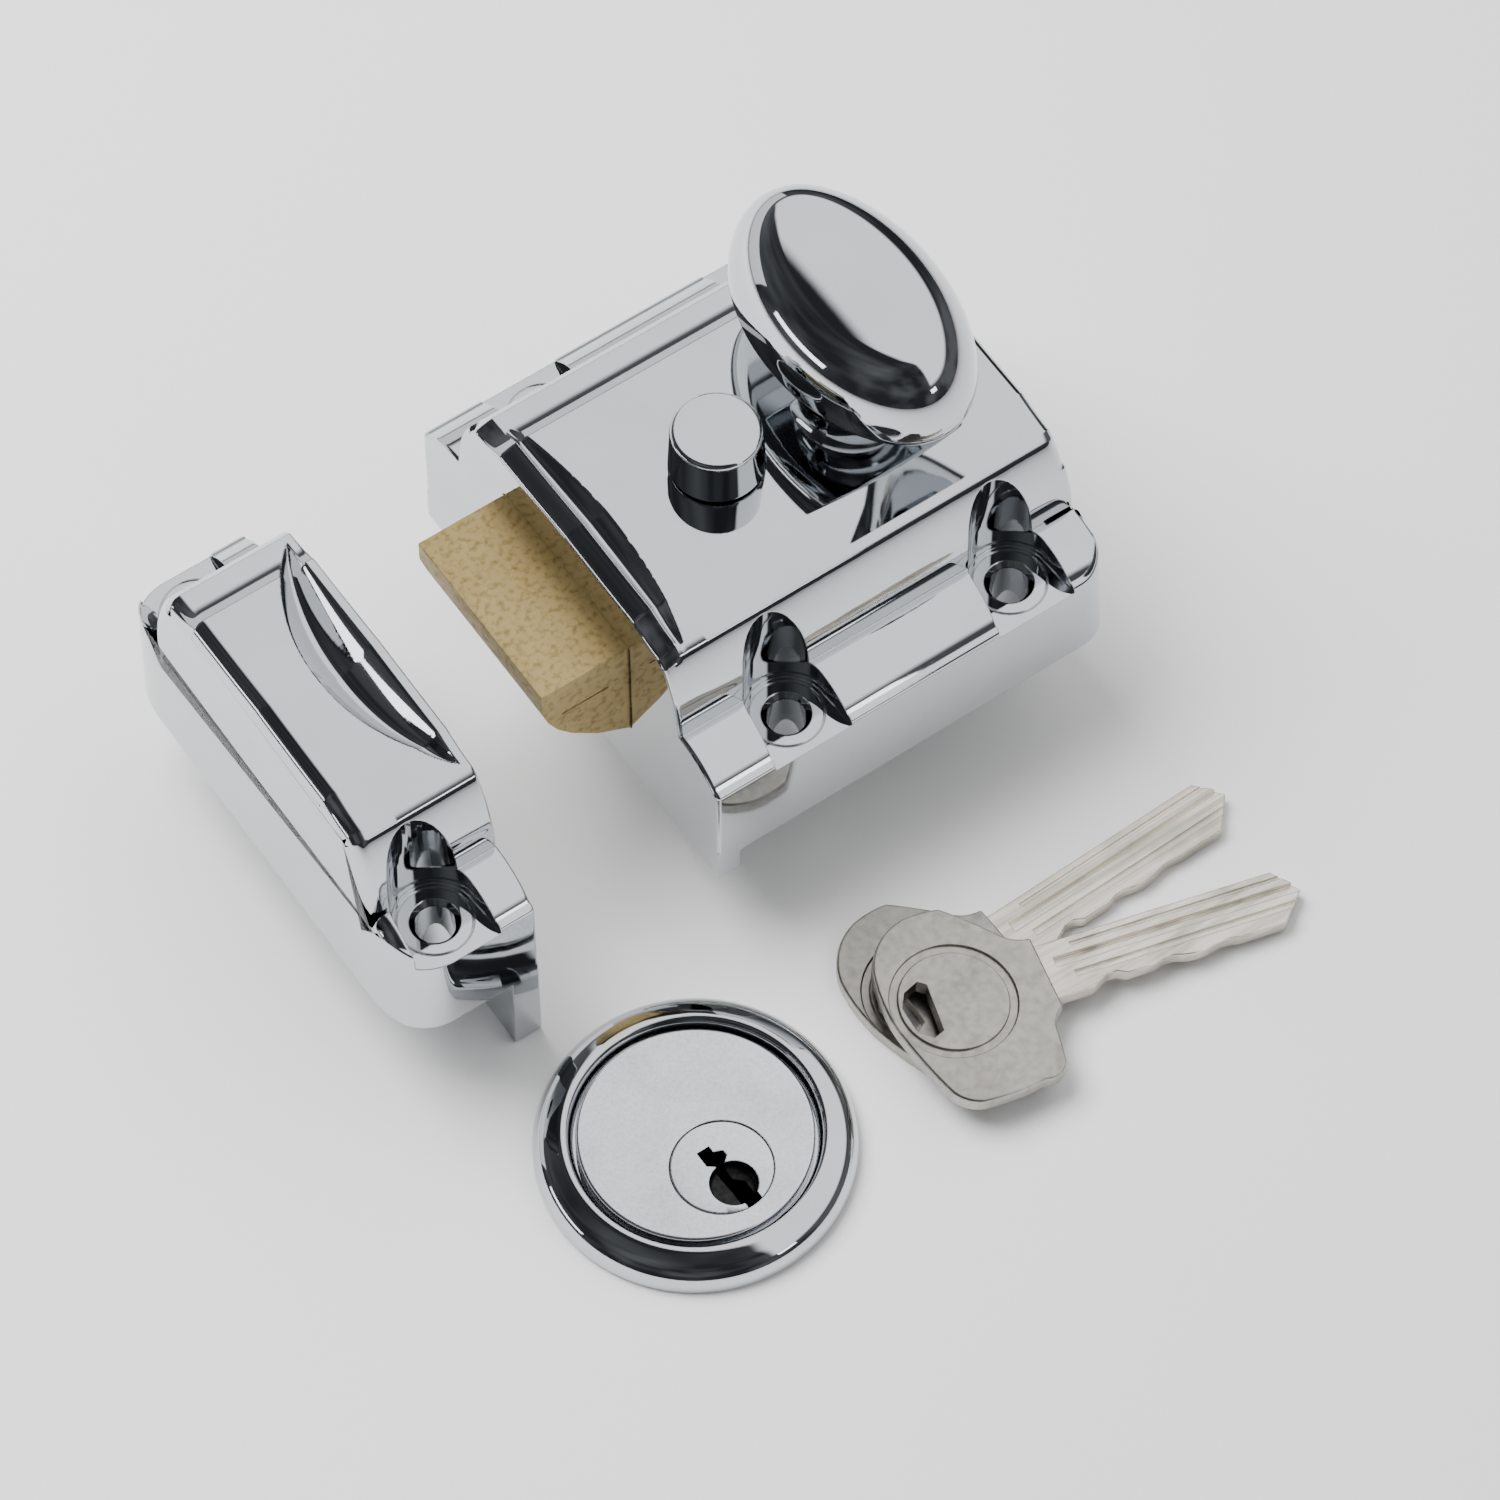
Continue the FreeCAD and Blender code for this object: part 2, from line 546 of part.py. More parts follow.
# ---------------------------------------------------------------- spindle and knob
def make_follower_cam():
    """Hub that the tail bar turns, with the arm that draws the bolt back."""
    body = new_body("follower_cam")
    centre = ("spindle_x", "0")
    extrude(body, "hub_foot", "XY_Plane", "hub_low", "hub_step", circles=[centre + ("hub_foot",)])
    extrude(body, "hub", "XY_Plane", "hub_step", "hub_top", circles=[centre + ("hub_radius",)])
    nose_x = "spindle_x-arm_radius*sin(arm_angle)"
    nose_y = "arm_radius*cos(arm_angle)"
    extrude(body, "arm_nose", "XY_Plane", "tail_low+0.2", "tail_high-0.2",
            circles=[(nose_x, nose_y, "nose_radius")])
    aside = "arm_half*cos(arm_angle)"
    along = "arm_half*sin(arm_angle)"
    arm = [("spindle_x-" + aside, "-" + along), ("spindle_x+" + aside, along),
           ("%s+%s" % (nose_x, aside), "%s+%s" % (nose_y, along)),
           ("%s-%s" % (nose_x, aside), "%s-%s" % (nose_y, along))]
    extrude(body, "arm", "XY_Plane", "tail_low+0.2", "tail_high-0.2", [arm])
    extrude(body, "spindle_bore", "XY_Plane", "spindle_foot", "hub_top",
            circles=[centre + ("spindle_radius",)], cut=True)
    for name, wide, high in (("slot_along", "tail_width+0.6", "tail_thick+0.5"),
                             ("slot_across", "tail_thick+0.5", "tail_width+0.6")):
        extrude(body, name, "XY_Plane", "hub_low", "hub_slot",
                [rectangle("spindle_x-(%s)/2" % wide, "-(%s)/2" % high,
                           "spindle_x+(%s)/2" % wide, "(%s)/2" % high)], cut=True)
    extrude(body, "pin_hole", "YZ_Plane", "spindle_x-hub_radius-1", "spindle_x+hub_radius+1",
            circles=[("0", "pin_z", "cross_pin")], cut=True)
    return body


def make_spindle():
    shaft = rod("spindle_shaft", "spindle_x", "0", "spindle_foot", "spindle_radius",
                "knob_low+knob_socket-spindle_foot")
    pin_hole = rod("spindle_pin_hole", "spindle_x-hub_radius", "0", "pin_z", "cross_pin",
                   "2*hub_radius", "x")
    groove_outer = rod("groove_outer", "spindle_x", "0", "cavity_top-clip_drop-0.1",
                       "clip_radius", "clip_thick+0.2")
    groove_inner = rod("groove_inner", "spindle_x", "0", "cavity_top-2*clip_drop", "clip_inner",
                       "2*clip_drop")
    groove = cut_away("circlip_groove", groove_outer, groove_inner)
    drilled = cut_away("spindle_drilled", shaft, pin_hole)
    return subpart(cut_away("spindle_turned", drilled, groove), "spindle")


def make_follower_pin():
    return subpart(rod("follower_pin_rod", "spindle_x-hub_radius+0.1", "0", "pin_z",
                       "cross_pin", "2*hub_radius-0.2", "x"), "follower_pin")


def make_circlip():
    low = "cavity_top-2*clip_drop"
    ring = rod("clip_outer", "spindle_x", "0", "cavity_top-clip_drop", "clip_radius", "clip_thick")
    hole = rod("clip_hole", "spindle_x", "0", low, "clip_inner+0.05", "2*clip_drop")
    gap = block("clip_gap", "spindle_x-clip_radius-2", "-clip_opening/2", low, "clip_radius",
                "clip_opening", "2*clip_drop")
    open_ring = cut_away("clip_ring", ring, hole)
    return subpart(cut_away("clip_open", open_ring, gap), "spindle_circlip")


def make_knob():
    """Oval turn knob: rounded head on a waisted neck, bored for the spindle."""
    spindle_x, low = value("spindle_x"), value("knob_low")
    centre = Vector(spindle_x, 0, low)
    oval = Part.Ellipse(centre.add(Vector(0, value("knob_long"), 0)),
                        centre.add(Vector(value("knob_short"), 0, 0)), centre)
    face = Part.Face(Part.Wire(oval.toShape()))
    head = face.extrude(Vector(0, 0, value("knob_high") - low))
    rims = [edge for edge in head.Edges if edge.BoundBox.ZLength < 0.01]
    head = head.makeFillet(value("knob_round"), rims)
    foot = value("top_height+neck_gap")
    flare, neck = value("neck_flare"), value("neck_radius")
    waist = Part.Arc(Vector(flare, 0, foot + 1), Vector(neck, 0, (foot + low) / 2),
                     Vector(flare, 0, low + 1)).toShape()
    lines = Part.makePolygon([Vector(flare, 0, low + 1), Vector(0, 0, low + 1),
                              Vector(0, 0, foot), Vector(flare, 0, foot),
                              Vector(flare, 0, foot + 1)])
    stem = Part.Face(Part.Wire(Part.__sortEdges__([waist] + lines.Edges)))
    stem = stem.revolve(Vector(0, 0, 0), Vector(0, 0, 1), 360)
    stem.translate(Vector(spindle_x, 0, 0))
    bore = Part.makeCylinder(value("spindle_radius"), low + value("knob_socket") - foot + 1,
                             Vector(spindle_x, 0, foot - 1))
    grub_hole = Part.makeCylinder(value("grub_radius"), flare + 1,
                                  Vector(spindle_x, 0, value("grub_z")), Vector(1, 0, 0))
    item = doc.addObject("Part::Feature", "knob_shape")
    item.Shape = head.fuse(stem).cut(bore).cut(grub_hole).removeSplitter()
    return subpart(item, "knob")


def make_grub_screw():
    return subpart(rod("grub_rod", "spindle_x+spindle_radius", "0", "grub_z", "grub_radius",
                       "grub_length", "x"), "knob_grub_screw")


# ---------------------------------------------------------------- snib
def make_snib_button():
    body = new_body("snib_button")
    side = [("0", "snib_base"), ("snib_radius+0.25", "snib_base"),
            ("snib_radius", "snib_top-0.7"), ("snib_radius-0.6", "snib_top"), ("0", "snib_top")]
    revolve(body, "button", side, ("snib_x", "snib_rest"))
    extrude(body, "rivet_hole", "XY_Plane", "snib_base", "snib_top-rivet_deep",
            circles=[("snib_x", "snib_rest", "rivet_radius")], cut=True)
    return body


def make_snib_slide():
    """Plate under the case top, with the peg that locks the bolt out or in."""
    body = new_body("snib_slide")
    plate_low = "cavity_top-slide_thick"
    extrude(body, "slide_plate", "XY_Plane", plate_low, "cavity_top-slide_gap",
            [rectangle("snib_x-slide_front", "snib_rest-slide_half", "snib_x+slide_rear",
                       "snib_rest+slide_half")])
    extrude(body, "slide_block", "XY_Plane", "cavity_top-slide_deep", plate_low,
            [rectangle("snib_x+block_front", "snib_rest-block_half", "snib_x+slide_rear",
                       "snib_rest+block_half")])
    extrude(body, "peg", "XY_Plane", "peg_low", plate_low,
            circles=[("snib_x", "snib_rest", "peg_radius")])
    extrude(body, "slide_rivet_hole", "XY_Plane", "cavity_top-rivet_deep", "cavity_top",
            circles=[("snib_x", "snib_rest", "rivet_radius")], cut=True)
    extrude(body, "ball_hole", "XY_Plane", "cavity_top-ball_pocket", "cavity_top",
            circles=[("snib_x+ball_reach", "snib_rest", "ball_radius+running_gap")], cut=True)
    return body


def make_snib_rivet():
    return subpart(rod("snib_rivet_rod", "snib_x", "snib_rest", "cavity_top-rivet_deep",
                       "rivet_radius", "snib_top-cavity_top"), "snib_rivet")


def make_detent_ball():
    return subpart(ball("detent_sphere", "snib_x+ball_reach", "snib_rest",
                        "cavity_top-ball_drop", "ball_radius"), "detent_ball")


def make_detent_spring():
    low = value("cavity_top-ball_pocket")
    high = value("cavity_top-ball_drop-ball_radius")
    wire = value("detent_wire")
    return springs("detent_spring", [
        coil(value("snib_x+ball_reach"), value("snib_rest"), low + wire / 2 + SPRING_CLEAR,
             value("detent_radius"), wire, high - low - wire - 2 * SPRING_CLEAR, 3, "z")])


# ---------------------------------------------------------------- staple
def make_staple():
    """Box staple that receives the bolt, with its flanges and door-frame lip."""
    body = new_body("staple")
    extrude(body, "staple_block", "YZ_Plane", "staple_left", "staple_right",
            [flanged_outline("0")])
    trim = [("staple_left", "0"), ("staple_left+staple_draft*1.1", "top_height+2"),
            ("staple_left-3", "top_height+2"), ("staple_left-3", "0")]
    extrude(body, "left_trim", "XZ_Plane", "-half_width-1", "half_width+1", [trim], cut=True)
    round_edges(body, "staple_corners", "staple_corner",
                lambda edge: upright(edge, x=value("staple_left"), y=value("half_width")))
    extrude(body, "frame_lip", "YZ_Plane", "staple_right-staple_lip_thick", "staple_right",
            [rectangle("-half_width", "-staple_lip", "half_width", "0")])
    extrude(body, "bolt_pocket", "YZ_Plane", "staple_left+staple_wall", "staple_right",
            [rectangle("-pocket_half", "pocket_low", "pocket_half", "pocket_high")], cut=True)
    points = [("staple_screw_x", "screw_y"), ("staple_screw_x", "-screw_y")]
    extrude(body, "staple_seats", "XY_Plane", "screw_seat", "crest_height",
            [screw_bay(x, y) for x, y in points], cut=True)
    extrude(body, "staple_holes", "XY_Plane", "0", "screw_seat",
            circles=[(x, y, "screw_hole/2") for x, y in points], cut=True)
    scoop = body.newObject("PartDesign::SubtractiveEllipsoid", "staple_scoop")
    scoop.setExpression("Radius1", bound("staple_scoop"))
    scoop.setExpression("Radius2", bound("staple_scoop_half"))
    scoop.setExpression("Radius3", bound("scoop_reach"))
    scoop.AttachmentSupport = [(origin_plane(body, "XY_Plane"), "")]
    scoop.MapMode = "FlatFace"
    scoop.setExpression("AttachmentOffset.Base.x", bound("staple_right-staple_scoop_in"))
    scoop.setExpression("AttachmentOffset.Base.z", bound("top_height-0.1"))
    doc.recompute()
    return body


# ---------------------------------------------------------------- rim cylinder
CYLINDER = ("cylinder_x", "cylinder_y")
PLUG = ("cylinder_x", "cylinder_y-plug_offset")
FACE = "ring_base+ring_height-face_gap"
BODY_END = "ring_base-body_length"
PIN_NUMBERS = range(5)
PIN_LENGTHS = (3.4, 4.6, 3.9, 5.1, 4.2)
PIN_COIL_SPIN = 37


def pin_height(number):
    return "ring_base-first_pin-%d*pin_pitch" % number


def make_rim_ring():
    body = new_body("rim_ring")
    side = [("body_radius+0.4", "ring_base"), ("ring_radius", "ring_base"),
            ("ring_radius", "ring_base+ring_step", "ring_curve"),
            ("ring_lip+1.2", "ring_base+ring_height-0.5", "lip_curve"),
            ("ring_lip", "ring_base+ring_height"),
            ("ring_lip-0.7", "ring_base+ring_height-face_gap"),
            ("face_radius+0.35", "ring_base+ring_seat"),
            ("body_radius+0.4", "ring_base+ring_seat")]
    revolve(body, "ring_section", side, CYLINDER)
    return body


def make_cylinder_body():
    body = new_body("cylinder_body")
    extrude(body, "barrel", "XY_Plane", BODY_END, "ring_base-neck_drop",
            circles=[CYLINDER + ("body_radius",)])
    extrude(body, "ring_neck", "XY_Plane", "ring_base-neck_drop", "ring_base+flange_low",
            circles=[CYLINDER + ("body_radius-neck_step",)])
    extrude(body, "face_flange", "XY_Plane", "ring_base+flange_low", FACE,
            circles=[CYLINDER + ("face_radius",)])
    extrude(body, "plug_bore", "XY_Plane", BODY_END, FACE,
            circles=[PLUG + ("plug_radius+running_gap",)], cut=True)
    extrude(body, "pin_chambers", "XZ_Plane", "cylinder_y-plug_offset+plug_radius-1",
            "cylinder_y+body_radius+1",
            circles=[("cylinder_x", pin_height(number), "chamber_radius")
                     for number in PIN_NUMBERS], cut=True)
    extrude(body, "cover_channel", "XZ_Plane", "cylinder_y+body_radius-cover_deep",
            "cylinder_y+body_radius+1",
            [rectangle("cylinder_x-cover_half", pin_height(4) + "-cover_half",
                       "cylinder_x+cover_half", pin_height(0) + "+cover_half")], cut=True)
    extrude(body, "connecting_holes", "XY_Plane", BODY_END, BODY_END + "+connect_depth",
            circles=[("cylinder_x-connect_x", "cylinder_y+connect_y", "connect_hole/2"),
                     ("cylinder_x+connect_x", "cylinder_y+connect_y", "connect_hole/2")],
            cut=True)
    return body


def make_chamber_cover():
    half = "cover_half-cover_gap"
    strip = block("cover_strip", "cylinder_x-(%s)" % half, "cylinder_y+body_radius-cover_deep",
                  "%s-(%s)" % (pin_height(4), half), "2*(%s)" % half, "cover_thick",
                  "4*pin_pitch+2*(%s)" % half)
    return subpart(strip, "chamber_cover")


def make_driver_pins():
    pieces = [rod("driver_%d" % (number + 1), "cylinder_x",
                  "cylinder_y-plug_offset+plug_radius+running_gap+0.02", pin_height(number),
                  "pin_radius", "driver_length", "y") for number in PIN_NUMBERS]
    return group("driver_pins", pieces)


def make_bottom_pins():
    pieces = [rod("bottom_%d" % (number + 1), "cylinder_x",
                  "cylinder_y-plug_offset+plug_radius-%g" % length, pin_height(number),
                  "pin_radius", "%g-pin_short" % length, "y")
              for number, length in zip(PIN_NUMBERS, PIN_LENGTHS)]
    return group("bottom_pins", pieces)


def make_pin_springs():
    start = value("cylinder_y-plug_offset+plug_radius+running_gap+driver_length") + 0.1
    end = value("cylinder_y+body_radius-cover_deep-cover_gap")
    wire = value("pin_wire")
    return springs("pin_springs", [
        coil(value("cylinder_x"), start + wire / 2, value(pin_height(number)),
             value("pin_coil"), wire, end - start - wire, 4, "y", PIN_COIL_SPIN)
        for number in PIN_NUMBERS])


def make_plug():
    body = new_body("plug")
    end = "ring_base-plug_length"
    extrude(body, "plug_rod", "XY_Plane", end, FACE, circles=[PLUG + ("plug_radius",)])
    x, y = PLUG
    right, left = x + "+keyway_width/2", x + "-keyway_width/2"
    keyway = [(left + "+keyway_step", y + "-plug_radius-1"),
              (right + "+keyway_step", y + "-plug_radius-1"), (right + "+keyway_step", y + "-keyway_high"),
              (right + "-keyway_step", y + "-keyway_shelf"),
              (right + "-keyway_step", y + "+keyway_high"),
              (left + "-keyway_step", y + "+keyway_high"),
              (left + "-keyway_step", y + "-keyway_mid"),
              (left + "+keyway_step", y + "-keyway_low")]
    extrude(body, "keyway", "XY_Plane", "ring_base-keyway_depth", FACE, [keyway], cut=True)
    extrude(body, "key_dish", "XY_Plane", "ring_base+2", FACE,
            circles=[(x, y + "-dish_y", "dish_radius")], cut=True)
    extrude(body, "pin_bores", "XZ_Plane", y + "+1", y + "+plug_radius+1",
            circles=[(x, pin_height(number), "chamber_radius") for number in PIN_NUMBERS],
            cut=True)
    extrude(body, "bar_slot", "XY_Plane", end, end + "+bar_seat",
            [rectangle(x + "-tail_width/2-bar_gap", y + "-tail_thick/2-bar_gap",
                       x + "+tail_width/2+bar_gap", y + "+tail_thick/2+bar_gap")], cut=True)
    extrude(body, "bar_pin_hole", "XZ_Plane", y + "-plug_radius-1", y + "+plug_radius+1",
            circles=[(x, end + "+tail_pin_up", "tail_pin_radius")], cut=True)
    inner = "plug_radius-groove_deep"
    groove = [(inner, end + "+groove_up"), ("plug_radius+1", end + "+groove_up"),
              ("plug_radius+1", end + "+groove_up+groove_wide"),
              (inner, end + "+groove_up+groove_wide")]
    revolve(body, "clip_groove", groove, PLUG, cut=True)
    return body


def make_plug_clip():
    x, y = PLUG
    low = "ring_base-plug_length+groove_up"
    ring = rod("plug_clip_outer", x, y, low + "+0.1", "plug_radius+2", "groove_wide-0.2")
    hole = rod("plug_clip_hole", x, y, low, "plug_radius-groove_deep+0.1", "groove_wide")
    gap = block("plug_clip_gap", x + "-clip_opening", y + "-plug_radius-3", low,
                "2*clip_opening", "plug_radius+3", "groove_wide")
    return subpart(cut_away("plug_clip_open", cut_away("plug_clip_ring", ring, hole), gap),
                   "plug_clip")


def make_tail_bar():
    """Flat connecting bar, notched so that it can be snapped to the door's thickness."""
    x, y = PLUG
    foot = "ring_base-plug_length-tail_reach"
    bar = block("bar_strip", x + "-tail_width/2", y + "-tail_thick/2", foot, "tail_width",
                "tail_thick", "tail_reach+bar_seat-0.1")
    notches = [block("bar_notch", x + side, y + "-tail_thick",
                     "%s+notch_first+%d*notch_pitch" % (foot, number), "2*notch_deep",
                     "2*tail_thick", "notch_wide")
               for number in range(5)
               for side in ("-tail_width/2-notch_deep", "+tail_width/2-notch_deep")]
    pin_hole = rod("bar_hole", x, y + "-tail_thick", "ring_base-plug_length+tail_pin_up",
                   "tail_pin_radius", "2*tail_thick", "y")
    tools = join("bar_tools", notches + [pin_hole])
    return subpart(cut_away("bar_notched", bar, tools), "tail_bar")


def make_tail_pin():
    x, y = PLUG
    return subpart(rod("tail_pin_rod", x, y + "-plug_radius+0.3",
                       "ring_base-plug_length+tail_pin_up", "tail_pin_radius",
                       "2*plug_radius-0.6", "y"), "tail_pin")


# ---------------------------------------------------------------- keys
BOW = [("-8.6", "-1"), ("-8.2", "7.4", "-24"), ("-1.5", "13.6", "-6"), ("3.5", "13.4"),
       ("9.6", "7"), ("blade_start-1", "5.4"), ("blade_start-1", "-5.4"), ("11", "-8"),
       ("10.2", "-13.2", "-5"), ("6.6", "-14.6"), ("-2", "-15", "-6"), ("-5.4", "-12.4")]
KEY_PLACES = {
    "key_lower": {"x": 15, "y": -58.5, "z": -15, "turn": 1.7, "tilt": 0},
    "key_upper": {"x": 15.7, "y": -63.3, "z": -11.3, "turn": -12.7, "tilt": 4.25},
}
RING_HOLE = [("-6.6", "1.8"), ("-2.4", "3.6"), ("-2.8", "-3.4"), ("-6.4", "-2.6")]


def blade_outline():
    """Blade with a flat-bottomed cut under each pin and a sloped tip."""
    cuts = []
    for number, length in enumerate(PIN_LENGTHS):
        middle = "first_cut+%d*pin_pitch" % number
        floor = "-blade_half+(5.6-%g)*cut_scale" % length
        cuts += [(middle + "-cut_flat", floor), (middle + "+cut_flat", floor),
                 (middle + "+pin_pitch/2", "-blade_half+cut_rise")]
    return ([("blade_start-1.5", "blade_half"), ("blade_start-1.5", "-blade_half"),
             ("first_cut-pin_pitch/2-1", "-blade_half")] + cuts
            + [("blade_end-tip_cut", "-blade_half+cut_rise"), ("blade_end", "0.6"),
               ("blade_end-tip_slope", "blade_half")])


def make_key(name, x, y, z, turn, tilt):
    """Flat key in its own frame: the bow's centre at the origin, the blade along +X."""
    body = new_body(name)
    low = "(key_thick-blade_thick)/2"
    extrude(body, name + "_bow", "XY_Plane", "0", "key_thick", [BOW])
    extrude(body, name + "_blade", "XY_Plane", low, low + "+blade_thick", [blade_outline()])
    extrude(body, name + "_hole", "XY_Plane", "0", "key_thick", [RING_HOLE], cut=True)
    extrude(body, name + "_flute", "XY_Plane", low + "+flute_floor", "key_thick",
            [rectangle("blade_start+1", "flute_low", "blade_end+1", "flute_high")], cut=True)
    swing = FreeCAD.Rotation(Vector(0, 0, 1), turn)
    body.Placement = FreeCAD.Placement(
        Vector(x, y, z), swing.multiply(FreeCAD.Rotation(Vector(0, 1, 0), tilt)))
    return body


# ---------------------------------------------------------------- build and write
make_case_shell()
make_cap_plate()
make_cap_screws()
make_mounting_plate()
make_spring_bridge()
make_spring_guides()
make_latch_springs()
make_latch_bolt()
make_follower_cam()
make_spindle()
make_follower_pin()
make_circlip()
make_knob()
make_grub_screw()
make_snib_button()
make_snib_slide()
make_snib_rivet()
make_detent_ball()
make_detent_spring()
make_staple()
make_rim_ring()
make_cylinder_body()
make_chamber_cover()
make_driver_pins()
make_bottom_pins()
make_pin_springs()
make_plug()
make_plug_clip()
make_tail_bar()
make_tail_pin()
for key_name, key_place in KEY_PLACES.items():
    make_key(key_name, **key_place)
doc.recompute()

faults = [item.Name for item in doc.Objects
          if "Invalid" in item.State or "Error" in item.State]
faults += [name for name, item in SUBPARTS.items()
           if item.Shape.isNull() or not item.Shape.isValid() or not item.Shape.Solids]
if faults:
    raise RuntimeError("these did not build: %s" % ", ".join(faults))

for name, item in SUBPARTS.items():
    item.Shape.exportStep("parts/%s.step" % name)
print("wrote %d sub-parts" % len(SUBPARTS))
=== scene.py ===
import json
import math
import bmesh
import bpy
from mathutils import Matrix, Vector


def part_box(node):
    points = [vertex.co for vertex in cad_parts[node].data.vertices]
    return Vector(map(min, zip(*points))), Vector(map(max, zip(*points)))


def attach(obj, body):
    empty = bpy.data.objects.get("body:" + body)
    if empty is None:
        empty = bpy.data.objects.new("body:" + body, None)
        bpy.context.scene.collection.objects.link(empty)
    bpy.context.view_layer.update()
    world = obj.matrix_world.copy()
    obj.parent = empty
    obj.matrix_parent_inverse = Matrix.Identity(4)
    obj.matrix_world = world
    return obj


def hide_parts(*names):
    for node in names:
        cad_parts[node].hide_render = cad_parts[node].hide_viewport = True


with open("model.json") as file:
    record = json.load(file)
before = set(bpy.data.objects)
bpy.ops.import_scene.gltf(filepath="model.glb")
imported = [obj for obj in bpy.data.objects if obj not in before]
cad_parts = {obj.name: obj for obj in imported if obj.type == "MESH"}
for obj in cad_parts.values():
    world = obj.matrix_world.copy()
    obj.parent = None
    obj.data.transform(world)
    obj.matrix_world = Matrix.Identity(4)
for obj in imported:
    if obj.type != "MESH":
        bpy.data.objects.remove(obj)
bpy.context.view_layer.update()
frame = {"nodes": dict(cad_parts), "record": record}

MM = 0.001


# ---------------------------------------------------------------- sizes from the frame, in mm
def box_mm(node):
    low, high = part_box(node)
    return Vector(low) / MM, Vector(high) / MM


def mount_mm(name):
    mounts = frame["record"]["mounts"]
    return next(mount for mount in mounts if mount["name"] == name)


def joint_mm(name):
    joints = frame["record"]["behaviour"]["joints"]
    return Vector(next(joint for joint in joints if joint["name"] == name)["pos_m"]) / MM


def hole_points(name):
    """Centres of a bolt pattern's holes."""
    mount = mount_mm(name)
    centre = Vector(mount["pos_m"]) / MM
    across = mount["dims"].get("spacing_x_mm", 0) / 2
    up = mount["dims"].get("spacing_y_mm", 0) / 2
    return sorted({(centre.x + i * across, centre.y + j * up) for i in (-1, 1) for j in (-1, 1)})


CASE_LOW, CASE_HIGH = box_mm("case_shell")
STAPLE_LOW, STAPLE_HIGH = box_mm("staple")
HALF_WIDTH = CASE_HIGH.y
TOP = CASE_HIGH.z
SCREW_RADIUS = mount_mm("case_screw_holes")["dims"]["hole_r_mm"]
SPINDLE = joint_mm("knob_turn")
PLUG_AXIS = joint_mm("plug_turn")
FLOOR_Z = box_mm("rim_ring")[0].z

# shared section of the case and the staple, measured down from the top
COVE_MID = (25.27, 19.1)
COVE_LOW_RADIUS = 10
COVE_HIGH_RADIUS = 22.83
CREST = (21.8, 31.2)
BAND = (20.7, 32.2)
ROLL = (15, 33.6)
ROLL_RADIUS = 14.8
CROWN_RADIUS = 281
RIM_HEIGHT = 14.4
SEAT_HEIGHT = 14.45
SEAT_RADIUS = 5.5
SEAT_FLARE = 0.4


# ---------------------------------------------------------------- node materials
class Nodes:
    """A material's nodes, built by name."""

    def __init__(self, name):
        self.material = bpy.data.materials.new(name)
        self.material.use_nodes = True
        self.tree = self.material.node_tree
        self.shader = self.tree.nodes["Principled BSDF"]

    def add(self, kind, **settings):
        node = self.tree.nodes.new("ShaderNode" + kind)
        for key, value in settings.items():
            if hasattr(node, key):
                setattr(node, key, value)
            else:
                node.inputs[key.replace("_", " ")].default_value = value
        return node

    def link(self, source, target):
        self.tree.links.new(source, target)

    def coordinates(self, stretch=(1, 1, 1)):
        texture = self.add("TexCoord")
        mapping = self.add("Mapping")
        mapping.inputs["Scale"].default_value = stretch
        self.link(texture.outputs["Object"], mapping.inputs["Vector"])
        return mapping.outputs["Vector"]

    def noise(self, scale, detail=3, stretch=(1, 1, 1)):
        node = self.add("TexNoise", Scale=scale, Detail=detail)
        self.link(self.coordinates(stretch), node.inputs["Vector"])
        return node.outputs["Fac"]

    def ramp(self, source, low, high, at=(0.0, 1.0)):
        """Colour or grey ramp between two values."""
        node = self.add("ValToRGB")
        for element, place, colour in zip(node.color_ramp.elements, at, (low, high)):
            element.position = place
            element.color = (*colour, 1) if isinstance(colour, tuple) else (colour,) * 3 + (1,)
        self.link(source, node.inputs["Fac"])
        return node.outputs["Color"]

    def mix(self, factor, first, second, blend="MIX"):
        node = self.add("Mix", data_type="RGBA", blend_type=blend)
        if isinstance(factor, float):
            node.inputs[0].default_value = factor
        else:
            self.link(factor, node.inputs[0])
        self.link(first, node.inputs[6])
        self.link(second, node.inputs[7])
        return node.outputs[2]

    def bump(self, height, strength, distance, normal=None):
        node = self.add("Bump", Strength=strength, Distance=distance)
        self.link(height, node.inputs["Height"])
        if normal:
            self.link(normal, node.inputs["Normal"])
        return node.outputs["Normal"]

    def soft_edges(self, radius):
        node = self.add("Bevel", Radius=radius)
        node.samples = 6
        return node.outputs["Normal"]


def chrome(name, tint, rough=0.03, edge=0.00025):
    """Polished chrome: faint polishing swirls, hairline scratches and dull smears."""
    nodes = Nodes(name)
    nodes.shader.inputs["Metallic"].default_value = 1
    smear = nodes.noise(90, 4)
    dark = tuple(channel * 0.95 for channel in tint)
    nodes.link(nodes.ramp(smear, dark, tint, (0.35, 0.65)), nodes.shader.inputs["Base Color"])
    hairs = nodes.noise(900, 2, (1, 14, 3))
    dull = nodes.ramp(smear, rough * 0.6, rough * 1.9, (0.4, 0.75))
    fine = nodes.ramp(hairs, 0.0, 0.03, (0.55, 0.8))
    nodes.link(nodes.mix(1.0, dull, fine, "ADD"), nodes.shader.inputs["Roughness"])
    waves = nodes.bump(nodes.noise(160, 1), 0.12, 0.00004, nodes.soft_edges(edge))
    nodes.link(nodes.bump(hairs, 0.05, 0.00001, waves), nodes.shader.inputs["Normal"])
    return nodes.material


